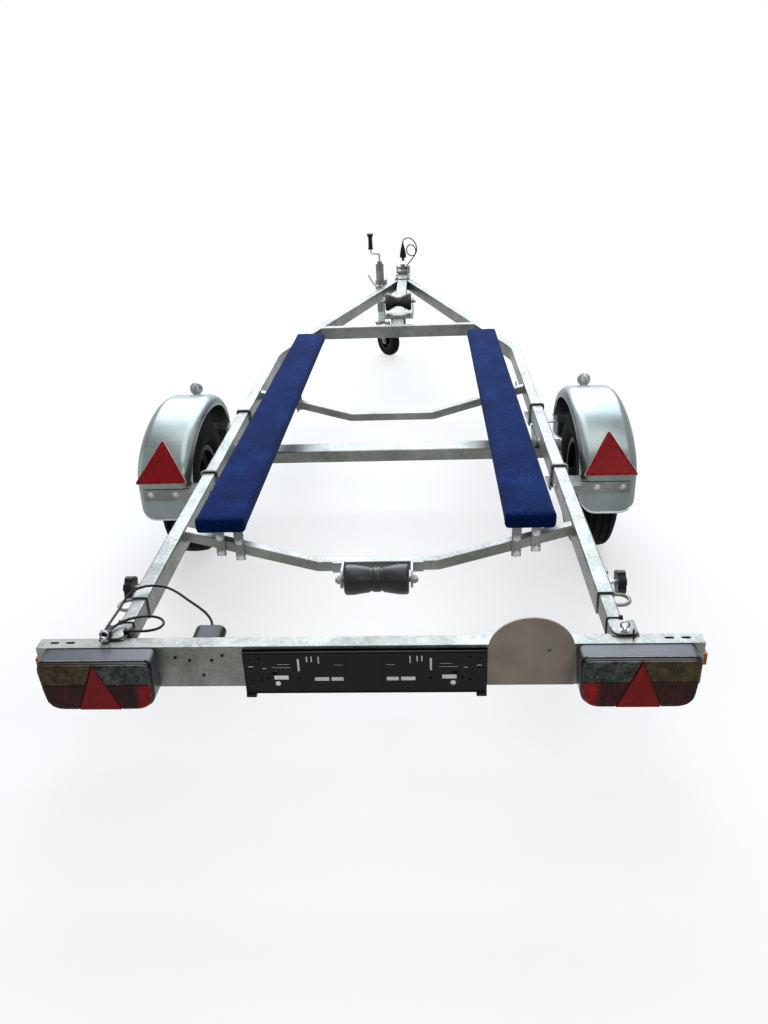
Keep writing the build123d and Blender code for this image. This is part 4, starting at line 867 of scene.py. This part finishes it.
def guard_stations():
    """Along a guard from its front foot to its rear foot: y, z, the inward direction and half width."""
    skirt = []
    for k in range(SKIRT_STEPS):
        z = GUARD_LOW + (GUARD_SPRING - GUARD_LOW) * (k / SKIRT_STEPS) ** 1.6
        skirt.append((z, guard_half(z)))
    stations = [(WHEEL_Y + GUARD_LONG, z, -1, 0, half) for z, half in skirt]
    for k in range(ARCH_STEPS + 1):
        t = math.pi * k / ARCH_STEPS
        ny, nz = GUARD_RISE * math.cos(t), GUARD_LONG * math.sin(t)
        size = math.hypot(ny, nz)
        stations.append((WHEEL_Y + GUARD_LONG * math.cos(t), GUARD_SPRING + GUARD_RISE * math.sin(t),
                         -ny / size, -nz / size, GUARD_HALF))
    return stations + [(WHEEL_Y - GUARD_LONG, z, 1, 0, half) for z, half in reversed(skirt)]


def crowned_guards():
    """Mudguards drawn from one sheet: a flat crown, round shoulders, flanks and round feet."""
    turns = [math.pi / 2 * k / SHOULDER_STEPS for k in range(SHOULDER_STEPS + 1)]
    sheets = []
    for inset in (0, GUARD_WALL):
        radius, start = GUARD_SHOULDER - inset, GUARD_HALF - GUARD_SHOULDER
        right = [(start + radius, GUARD_FLANK)]
        right += [(start + radius * math.cos(a), inset + radius - radius * math.sin(a)) for a in turns]
        sheets.append(right + [(-x, depth) for x, depth in reversed(right)])
    wide = len(sheets[0])
    points, faces, edge = [], [], []
    stations = guard_stations()
    for y, z, ny, nz, half in stations:
        for inset, sheet in zip((0, GUARD_WALL), sheets):
            for x, depth in sheet:
                if half < GUARD_HALF and abs(x) > half:
                    x = math.copysign(half, x)
                    depth = guard_depth(x, inset)
                points.append(at(GUARD_X + x, y + ny * depth, z + nz * depth))
        deep = GUARD_FLANK if half == GUARD_HALF else guard_depth(half, 0) + 1
        edge.append((half - GUARD_BEAD_R + 0.4, y + ny * deep, z + nz * deep))
    for i in range(len(stations) - 1):
        a, b = i * 2 * wide, (i + 1) * 2 * wide
        for j in range(wide - 1):
            faces += [(a + j, a + j + 1, b + j + 1, b + j),
                      (a + wide + j, b + wide + j, b + wide + j + 1, a + wide + j + 1)]
        for j in (0, wide - 1):
            faces.append((a + j, b + j, b + wide + j, a + wide + j))
    for a in (0, (len(stations) - 1) * 2 * wide):
        faces += [(a + j, a + j + 1, a + wide + j + 1, a + wide + j) for j in range(wide - 1)]
    for side_name, side in SIDES.items():
        turned = [(p[0] * side, p[1], p[2]) for p in points]
        name = f"guard_sheet_{side_name}"
        piece(name, [(turned, faces)], "zinc_sheet", replaced=[f"mudguard_{side_name}"], crease=40,
              clean=True)
    line = [at(GUARD_X + x, y, z) for x, y, z in edge] + [at(GUARD_X - x, y, z) for x, y, z in reversed(edge)]
    # The rolled edges take the paler bright zinc rather than the sheet's own finish: a painted highlight
    # along the bead.
    piece("guard_rolled_edges", both([run(line, GUARD_BEAD_R, 10, closed=True)]), "bright_zinc")
    bars = []
    for y in (WHEEL_Y - GUARD_LONG - BAR_T, WHEEL_Y + GUARD_LONG):
        bars.append(eased_block((588, y, BAR_Z - 24), (GUARD_X + 66, y + BAR_T, BAR_Z + 15.6), 2))
    piece("carrier_bars", both(bars), "galvanised")


MARKER_Y, MARKER_Z, MARKER_FOOT, MARKER_TONGUE, MARKER_R = 1503, 543, 508, 13, 24
TRIANGLE_TILT = math.radians(36)
TRIANGLE_AT = (709, 992.1, 438.9)
TRIANGLE_HALF, TRIANGLE_LOW, TRIANGLE_HIGH, TRIANGLE_FACE, TRIANGLE_T = 86, -56, 93, 8.0, 7.0


def mould_triangles():
    """Red triangle reflectors: a prismatic face in a raised rim, on a backing in pale pink-white, a painted
    highlight round the triangle's edge.
    """
    up = Vector((0, math.sin(TRIANGLE_TILT), math.cos(TRIANGLE_TILT)))
    out = Vector((0, -math.cos(TRIANGLE_TILT), math.sin(TRIANGLE_TILT)))
    origin = at(*TRIANGLE_AT)

    def outline(inset, z):
        half, low = TRIANGLE_HALF - inset * 1.7, TRIANGLE_LOW + inset
        corners = ((-half, low), (half, low), (0, TRIANGLE_HIGH - inset * 2))
        return rounded([origin + (Vector((x, 0, 0)) + up * y + out * z) * MM for x, y in corners], 12)

    backing = slab(outline(0, TRIANGLE_FACE - 3), out, TRIANGLE_T - 3, 1.0)
    # The backing shows as a pale rim round the red face: a painted edge highlight.
    piece("triangle_backings", both([backing]), "painted_edge_highlight")
    face = slab(outline(1.6, TRIANGLE_FACE), out, 4, 1.2)
    rim = run(outline(7, TRIANGLE_FACE), 1.5, closed=True)
    piece("triangle_reflectors", both([face, rim]), "reflector", replaced=["triangles"])


def stand_markers():
    """Front marker lamps: a round clear lamp on the front of an upright tongue with an arched top."""
    turns = [math.pi * k / 12 for k in range(13)]
    outline = [(MARKER_TONGUE * math.cos(t), MARKER_Z + MARKER_TONGUE * math.sin(t)) for t in turns]
    outline += [(-MARKER_TONGUE, MARKER_FOOT), (MARKER_TONGUE, MARKER_FOOT)]
    tongues = [slab([at(GUARD_X + x, MARKER_Y, z) for x, z in outline], Vector((0, -1, 0)), 3, 0.5)]
    rivet = [(0, 0), (0, 4), (0.6, 4), (0.6, 0)]
    tongues.append(lathe(rivet, at(GUARD_X, MARKER_Y, MARKER_Z), (0, -1, 0), 16))
    dome = [(3, 0), (3, MARKER_R - 1), (12, MARKER_R), (16, MARKER_R - 1.5), (19, MARKER_R - 6),
            (20.5, MARKER_R - 14), (21, 0)]
    lamps = [lathe(dome, at(GUARD_X, MARKER_Y, MARKER_Z - 8), (0, 1, 0), 32)]
    piece("marker_tongues", both(tongues), "bright_zinc", crease=50)
    piece("marker_lenses", both(lamps), "lens_white", replaced=["marker_lamps"], crease=50)


# ---- keel roller ----
KEEL_AT, KEEL_BORE = (-86, 475, 318), 8.1
KEEL_PROFILE = ((0, 36), (2, 39), (6, 41), (24, 41), (66, 34.5), (70, 31.5), (74, 31), (77, 33.5), (95, 33.5),
                (98, 31), (102, 31.5), (106, 34.5), (148, 41), (166, 41), (170, 39), (172, 36))


def turn_keel_roller():
    """Rubber keel roller: two cones with moulded edges and a band between grooves."""
    section = [(0, KEEL_BORE), *KEEL_PROFILE, (KEEL_PROFILE[-1][0], KEEL_BORE), (0, KEEL_BORE)]
    form = lathe(section, at(*KEEL_AT), (1, 0, 0), 48)
    piece("keel_roller_rubber", [form], "rubber", "keel_roller", ["keel_roller"], crease=40, clean=True)


# ---- chassis fittings ----
RAIL_X, RAIL_HALF, RAIL_TOP, RAIL_LOW = 546, 20, 436, 376
U_BOLTS, HOOK_Y = (950, 1528), 1850
V_ANGLE = math.radians(16.8)          # of the V arms to the length
V_START = 2330                        # station where the rails bend inward
LOOP_YS, LOOP_Z = (209, 255), 398     # where the lashing loops meet the rails
FRONT_TUBE, HEAD_PLATE = (2790, 2830), (3940, 4044)      # both edges of each
AXLE_BOLTS, AXLE_BOLT_Z = (872, 1254), 404
WELD_RIPPLE = 0.16


def weld(line, radius=2.6):
    """Weld bead along a line of points in millimetres."""
    return run([at(*p) for p in line], radius, ripple=WELD_RIPPLE)


def weld_chassis():
    """Weld beads where the tubes meet, under the zinc."""
    inner, outer = RAIL_X - RAIL_HALF, RAIL_X + RAIL_HALF
    parts = []
    for y in DIP_TUBES:
        edges = (y - DIP_SIZE / 2, y + DIP_SIZE / 2)
        for edge in edges:
            parts.append(weld([(inner, edge, RAIL_TOP - 2), (inner, edge, RAIL_TOP - 34)]))
        parts.append(weld([(inner, edge, RAIL_TOP - 1) for edge in edges]))
    for y in FRONT_TUBE:
        x = RAIL_X - (y - V_START) * math.tan(V_ANGLE) - RAIL_HALF / math.cos(V_ANGLE)
        parts.append(weld([(x, y, RAIL_TOP - 1), (x, y, RAIL_LOW + 1)]))
    parts.append(weld([(30, y, RAIL_TOP) for y in HEAD_PLATE], 2.4))
    for y in LOOP_YS:
        ring = circle((outer, y, LOOP_Z), (0, 5, 0), (0, 0, 5), 12)
        parts.append(run(ring + ring[:1], 1.8, ripple=WELD_RIPPLE))
    piece("weld_beads", both(parts), "weld", crease=60)


def fit_chassis():
    """Bolt heads, hooks and gussets on the rails, and dark rubber strips at the U-bolts, painted shade for
    the U-bolts' shaded sides.
    """
    inner, outer = RAIL_X - RAIL_HALF, RAIL_X + RAIL_HALF
    bolts = []
    for y in AXLE_BOLTS:
        for x, out in ((inner, -1), (outer, 1)):
            bolts += bolt_head(at(x, y, AXLE_BOLT_Z), (out, 0, 0), 8, 6)
    piece("rail_bolts", both(bolts), "bright_zinc")
    hook = [at(inner + x, HOOK_Y, z) for x, z in ((1, 400), (-12, 400), (-20, 404), (-24, 414), (-24, 428))]
    domes = []
    for out in (-1, 1):
        for x in (GUARD_X - 40, GUARD_X + 40):
            domes += dome_head(at(x, WHEEL_Y + out * (GUARD_LONG + BAR_T), BAR_Z), (0, out, 0), 8.6, 5)
    piece("carrier_bolts", both(domes), "bright_zinc")
    piece("rope_hooks", both([run(hook, 3.5, 10)]), "bright_zinc")
    gusset = eased_block((outer - 0.5, 345, 402), (outer + 15, 372, 408), 2)
    piece("screw_gussets", both([gusset]), "galvanised")
    # Black strips over the rails at the U-bolts: painted shade standing in for the dark, shaded side of each
    # U-bolt's rod.
    painted_shade_strips = []
    side_low, side_high, top_low, top_high = RAIL_TOP - 12, RAIL_TOP + 0.4, RAIL_TOP - 0.4, RAIL_TOP + 1.1
    for y in U_BOLTS:
        for x0, x1, z0, z1 in ((inner - 0.9, inner + 0.4, side_low, side_high),
                               (outer - 0.4, outer + 0.9, side_low, side_high),
                               (inner - 0.9, outer + 0.9, top_low, top_high)):
            painted_shade_strips.append(eased_block((x0, y - 8, z0), (x1, y + 8, z1), 0.3, 1))
    piece("u_bolt_painted_shade_strips", both(painted_shade_strips), "rubber")


# ---- light board ----
LAMP_X, LAMP_Z, LAMP_FACE, LAMP_SEAT = 571.0, 372.5, -56.8, -44.0
LENS_HALF_H, LENS_HALF_TOP, LENS_TAPER = 58.5, 123.0, 9.0
CHAMBER_DEPTH, CHAMBER_EASE, WEDGE_LIFT = 6, 1.4, 1.2
LENS_TOP_R, LENS_LOW_R, LENS_SPLIT_V = 19.0, 35.0, 4.9
WEDGE_HALF, WEDGE_SLOPE, LENS_JOINT = 23.0, 0.40, 1.6
FLUTE_PITCH, PILLOW_PITCH, LENS_MARGIN = 4.0, 7.0, 6.0


def lens_top(u):
    """Upper edge of the lens at a distance from its middle."""
    past = abs(u) - (LENS_HALF_TOP - LENS_TOP_R)
    return LENS_HALF_H - (LENS_TOP_R - math.sqrt(max(0, LENS_TOP_R ** 2 - past ** 2)) if past > 0 else 0)


def lens_bottom(u):
    """Lower edge of the lens at a distance from its middle."""
    low_half = LENS_HALF_TOP - LENS_TAPER
    past = abs(u) - (low_half - LENS_LOW_R)
    low = -LENS_HALF_H + (LENS_LOW_R - math.sqrt(max(0, LENS_LOW_R ** 2 - past ** 2)) if past > 0 else 0)
    return max(low, -LENS_HALF_H + (abs(u) - low_half) / LENS_TAPER * 2 * LENS_HALF_H)


def wedge_half(v):
    """Half width of the red wedge at a height above the lens's middle."""
    return WEDGE_HALF - WEDGE_SLOPE * v


def lamp_outline(grow):
    """Outline of the lamp in its own plane: wide above, drawn in below with large lower corners."""
    top, low = LENS_HALF_H + grow, LENS_HALF_TOP + grow
    corners = [(-low, top), (low, top), (low - LENS_TAPER, -top), (-low + LENS_TAPER, -top)]
    radii = (LENS_TOP_R, LENS_TOP_R, LENS_LOW_R, LENS_LOW_R)
    line = rounded([Vector((u, v, 0)) * MM for u, v in corners], radii, 8)
    return [(p.x / MM, p.y / MM) for p in line]


def cut(outline, a, b, c):
    """The part of a convex outline where a * u + b * v is at most c."""
    kept = []
    for i, (u, v) in enumerate(outline):
        next_u, next_v = outline[(i + 1) % len(outline)]
        here, there = a * u + b * v - c, a * next_u + b * next_v - c
        if here <= 0:
            kept.append((u, v))
        if here * there < 0:
            t = here / (here - there)
            kept.append((u + (next_u - u) * t, v + (next_v - v) * t))
    return kept


def lamp_slab(outline, face, depth, ease):
    """A slab of the right lamp with its face at a station."""
    return slab([at(LAMP_X + u, face, LAMP_Z + v) for u, v in outline], Vector((0, -1, 0)), depth, ease)


def build_lamps():
    """Lamps: a grey housing, a dark lens base and the raised chambers with joints between them."""
    housing = lamp_slab(lamp_outline(3), LAMP_SEAT, -LAMP_SEAT, 2)
    piece("lamp_bodies", both([housing]), "housing", "light_board", ["lamp_housings"])
    base = lamp_slab(lamp_outline(0), LAMP_FACE + 2.5, LAMP_SEAT - LAMP_FACE - 2.5, 3)
    piece("lens_bases", both([base]), "lens_depth", "light_board")
    whole = lamp_outline(-1.5)
    wedge = cut(cut(whole, 1, WEDGE_SLOPE, WEDGE_HALF), -1, WEDGE_SLOPE, WEDGE_HALF)
    upper, lower = [], []
    for s in (-1, 1):
        beside = cut(whole, -s, -WEDGE_SLOPE, -WEDGE_HALF - LENS_JOINT)
        for chambers, v, split in ((upper, -1, -LENS_SPLIT_V), (lower, 1, LENS_SPLIT_V)):
            outline = cut(beside, 0, v, split - LENS_JOINT / 2)
            chambers.append(lamp_slab(outline, LAMP_FACE, CHAMBER_DEPTH, CHAMBER_EASE))
    piece("lens_upper", both(upper), "lens_clear", "light_board", ["lenses_clear"])
    piece("lens_lower", both(lower), "lens_red", "light_board", ["lenses_red"])
    raised = lamp_slab(wedge, LAMP_FACE - WEDGE_LIFT, CHAMBER_DEPTH, CHAMBER_EASE)
    piece("lens_wedges", both([raised]), "reflector", "light_board")


def flute(u, low, high):
    """Upright half-round prism on the lens face."""
    section = [(-1.7, 0.4), (-1.2, -0.45), (0, -0.8), (1.2, -0.45), (1.7, 0.4)]
    points = [at(LAMP_X + u + du, LAMP_FACE + dy, LAMP_Z + v) for v in (low, high) for du, dy in section]
    n = len(section)
    faces = [(i, i + 1, n + i + 1, n + i) for i in range(n - 1)]
    return points, faces + [tuple(range(n)), tuple(range(n, 2 * n))]


def pillow(u, v):
    """Small square prism on the lens face."""
    base, top = PILLOW_PITCH * 0.46, PILLOW_PITCH * 0.18
    square = ((-1, -1), (1, -1), (1, 1), (-1, 1))
    points = [at(LAMP_X + u + a * base, LAMP_FACE + 0.3, LAMP_Z + v + b * base) for a, b in square]
    points += [at(LAMP_X + u + a * top, LAMP_FACE - 0.8, LAMP_Z + v + b * top) for a, b in square]
    return points, [(0, 1, 5, 4), (1, 2, 6, 5), (2, 3, 7, 6), (3, 0, 4, 7), (4, 5, 6, 7)]


def spread(first, last, pitch):
    """Places from the first to short of the last, one pitch apart."""
    return [first + k * pitch for k in range(math.ceil((last - first) / pitch))]


def cut_lenses():
    """Prisms of the lamp lenses: upright flutes above and square pillows below; pale beads on top, a painted
    highlight along each lens's upper edge.
    """
    first, last = -LENS_HALF_TOP + 8, LENS_HALF_TOP - 7
    flutes, pillows = [], []
    for u in spread(first, last, FLUTE_PITCH):
        high = lens_top(u) - LENS_MARGIN
        low = max(LENS_SPLIT_V + 2, (WEDGE_HALF - abs(u)) / WEDGE_SLOPE + 4, lens_bottom(u) + LENS_MARGIN)
        if high - low > 6:
            flutes.append(flute(u, low, high))
    lowest = -LENS_HALF_H + LENS_MARGIN + PILLOW_PITCH / 2
    for v in spread(lowest, LENS_SPLIT_V - PILLOW_PITCH / 2, PILLOW_PITCH):
        for u in spread(first, last, PILLOW_PITCH):
            if lens_bottom(u) + LENS_MARGIN < v and abs(u) > wedge_half(v) + 4:
                pillows.append(pillow(u, v))
    piece("lens_flutes", both(flutes), "lens_clear", "light_board", crease=60)
    piece("lens_pillows", both(pillows), "lens_red", "light_board", crease=20)
    # Pale bead along the top of each lens: a painted highlight where light catches its upper edge.
    edge = [at(LAMP_X + u, LAMP_FACE + 14, LAMP_Z + lens_top(u) + 1.6) for u in range(-112, 113, 4)]
    piece("lens_top_painted_highlights", both([run(edge, 1.1)]), "lens_white", "light_board")


HOLDER_X0, HOLDER_X1, HOLDER_TOP, HOLDER_LOW, HOLDER_T = -262, 260, 428, 318, 8
HOLDER_RIM_Y, HOLDER_RIM_R, HOLDER_RIB_R, HOLDER_RIB_XS = -8.6, 1.5, 1.3, (-40, 38)
HOLDER_LEDGE_Y, HOLDER_STUB_W = -12, 22
# Openings on each half of the holder: distance from its end, depth below its top, width, height, and
# whether a bright plate is set into it, painted light for the lit board seen through it.
HOLDER_OPENINGS = (
    (82, 43, 42, 2.5, True), (86.5, 35, 27, 2.5, True), (80, 69, 32, 12, True), (119, 36.5, 5.5, 33, True),
    (119, 70, 3.6, 8, False), (168, 73.5, 32, 11, True), (201.5, 73.5, 27, 11, True),
    (138, 22, 3.6, 16, True), (148, 22, 3.6, 16, True), (163, 24, 3.6, 20, True), (205, 37, 20, 2.5, True),
    (16, 40, 12, 3, True), (16, 40, 3, 12, False), (45, 45, 10, 3, True), (52, 70, 3, 8, False),
    (67, 55, 9.9, 9.9, False), (36, 18, 5.4, 5.4, False), (36, 75, 5.4, 5.4, False),
    (14, 20, 3.6, 3.6, False), (16, 75, 3.6, 3.6, False),
)
PAINTED_PLATE_GAP = 0.2             # between each painted lit plate and the edge of its opening


def upright_frame(x0, x1, y, z0, z1, radius=5):
    """Closed line round an upright rectangle with rounded corners."""
    return rounded([at(x0, y, z0), at(x1, y, z0), at(x1, y, z1), at(x0, y, z1)], radius)


def dress_holder():
    """Number-plate holder: rim and ribs, its irregular grid, a ledge with two stubs, and bright plates in
    some openings, painted light for the board behind.
    """
    low, high = HOLDER_LOW + 2.5, HOLDER_TOP - 7
    rim = upright_frame(HOLDER_X0 + 3, HOLDER_X1 - 3, HOLDER_RIM_Y, low, high)
    ribs = [run(rim, HOLDER_RIM_R, closed=True)]
    for x in HOLDER_RIB_XS:
        ribs.append(run([at(x, HOLDER_RIM_Y + 0.3, z) for z in (low + 14, high - 12)], HOLDER_RIB_R))
    piece("holder_rim", ribs, "plastic", "light_board")
    openings, metal = [], []
    middle, half = (HOLDER_X0 + HOLDER_X1) / 2, (HOLDER_X1 - HOLDER_X0) / 2
    for inset, drop, width, height, lit_plate_painted in HOLDER_OPENINGS:
        for side in SIDES.values():
            x, z = middle + side * (half - inset), HOLDER_TOP - drop
            x0, x1, z0, z1 = x - width / 2, x + width / 2, z - height / 2, z + height / 2
            openings.append((x0, x1, z0, z1))
            # Bright zinc plate set into the opening: painted light, as the board behind lies deeper, in the
            # opening's shade.
            if lit_plate_painted:
                metal.append(eased_block((x0 + PAINTED_PLATE_GAP, -HOLDER_T + 1.2, z0 + PAINTED_PLATE_GAP),
                                         (x1 - PAINTED_PLATE_GAP, -1, z1 - PAINTED_PLATE_GAP), 0.4, 1))
    grid = pierced_plate((HOLDER_X0, HOLDER_LOW), (HOLDER_X1, HOLDER_TOP), -HOLDER_T, 0, openings)
    piece("holder_grid", [grid], "plastic", "light_board", ["plate_holder"], crease=30, clean=True)
    ledge = [eased_block((HOLDER_X0, HOLDER_LEDGE_Y, HOLDER_TOP - 3), (HOLDER_X1, 0, HOLDER_TOP), 0.8)]
    for x in (HOLDER_X0, HOLDER_X1 - HOLDER_STUB_W):
        ledge.append(eased_block((x, HOLDER_LEDGE_Y, HOLDER_LOW - 8),
                                 (x + HOLDER_STUB_W, 0, HOLDER_LOW + 1), 1))
    piece("holder_ledge", ledge, "plastic", "light_board")
    piece("holder_painted_lit_plates", metal, "bright_zinc", "light_board")


ARM_X0, ARM_X1, ARM_LOW, ARM_TOP = 530, 562, 381, 431       # section of the board's arms
# Blocks by their lower and upper corners: the plates over both arms, and the left foot's clips.
FOOT_PLATES = (((526, 26, 436), (582, 84, 439)), ((ARM_X0, 36, ARM_TOP), (ARM_X1, 82, 436.2)))
LEAD_CLIPS = (((-582, 34, 438.8), (-557, 48, 451)), ((-532, 43, 438.8), (-517, 57, 450)))
FOOT_DARK_LINE = ((526, 56), (526.5, 40), (530, 31), (537, 26.5), (546, 25.5), (560, 25.5), (573, 26.5),
               (580, 32))
FOOT_DARK_LINE_Z, FOOT_DARK_LINE_R = 440, 2.4
TIE_Y, TIE_GAP, TIE_R = 104, 1.2, 1.7
EYES, EYE_Z, EYE_FOOT_Z, EYE_R, EYE_BAR_R = ((-566, 24), (554, 44)), 453, 439, 9, 2.6


def dress_feet():
    """Plates, a dark line round each foot's lower edge and ties on the arms, lifting eyes, and the clips that
    hold the leads.
    """
    plates = [eased_block(*corners, 1.2) for corners in FOOT_PLATES]
    piece("foot_plates", both(plates), "galvanised", "light_board")
    piece("lead_clips", [eased_block(*corners, 2) for corners in LEAD_CLIPS], "plastic", "light_board")
    # A dark round bar along the lower edge of each foot plate.
    dark_line = run([at(x, y, FOOT_DARK_LINE_Z) for x, y in FOOT_DARK_LINE], FOOT_DARK_LINE_R)
    piece("foot_dark_line", both([dark_line]), "rubber", "light_board")
    band = upright_frame(ARM_X0 - TIE_GAP, ARM_X1 + TIE_GAP, TIE_Y, ARM_LOW - TIE_GAP, ARM_TOP + TIE_GAP)
    buckle = eased_block((ARM_X1 - 7, TIE_Y - 3.5, ARM_TOP), (ARM_X1 + 1, TIE_Y + 3.5, ARM_TOP + 6), 1)
    piece("cable_ties", both([run(band, TIE_R, 6, closed=True), buckle]), "plastic", "light_board")
    eyes = []
    for x, y in EYES:
        eyes.append(run(circle((x, y, EYE_Z), (EYE_R, 0, 0), (0, 0, EYE_R), 24), EYE_BAR_R, 10, closed=True))
        foot = [(0, 0), (0, 9), (1.5, 9), (1.5, 6), (6, 5.4), (6, 0)]
        eyes.append(lathe(foot, at(x, y, EYE_FOOT_Z), (0, 0, 1), 16))
    piece("foot_eyes", eyes, "bright_zinc", "light_board")
    tie = run(circle((569, 26, EYE_FOOT_Z + 1), (2, 11, 0), (0, 0, 11), 20), 1.8, closed=True)
    piece("eye_tie", [tie], "plastic", "light_board")


BOARD_SCREWS = ((-190, 345), (188, 345))
BOARD_PLUGS = ((-410, 409), (-307, 413), (-379, 401), (-331, 401), (-353, 362))


def dress_beam():
    """Screws through the plate holder, plugs in the board, rubber pads in its slots and an arm's clip."""
    screws = [part for x, z in BOARD_SCREWS for part in dome_head(at(x, -HOLDER_T, z), (0, -1, 0), 5, 2.4)]
    piece("board_screws", screws, "bright_zinc", "light_board")
    plugs = [part for x, z in BOARD_PLUGS for part in dome_head(at(x, 0, z), (0, -1, 0), 3.2, 0.8)]
    piece("board_plugs", plugs, "plastic", "light_board")
    piece("slot_pads", both([eased_block((622, 5, 427), (702, 33, 432.6), 1)]), "rubber", "light_board")
    piece("arm_clip", [eased_block((-529.5, 60, 388), (-522, 96, 424), 3)], "plastic", "light_board")


place_camera()
light_world()
hang_lamps()
lay_floor()
bpy.context.scene.view_settings.view_transform = "Standard"
finish_frame()
lay_leads()
cover_bunks()
tread_tyres()
crowned_guards()
mould_triangles()
stand_markers()
turn_keel_roller()
seat_bunks()
weld_chassis()
fit_chassis()
build_lamps()
cut_lenses()
dress_holder()
dress_feet()
dress_beam()
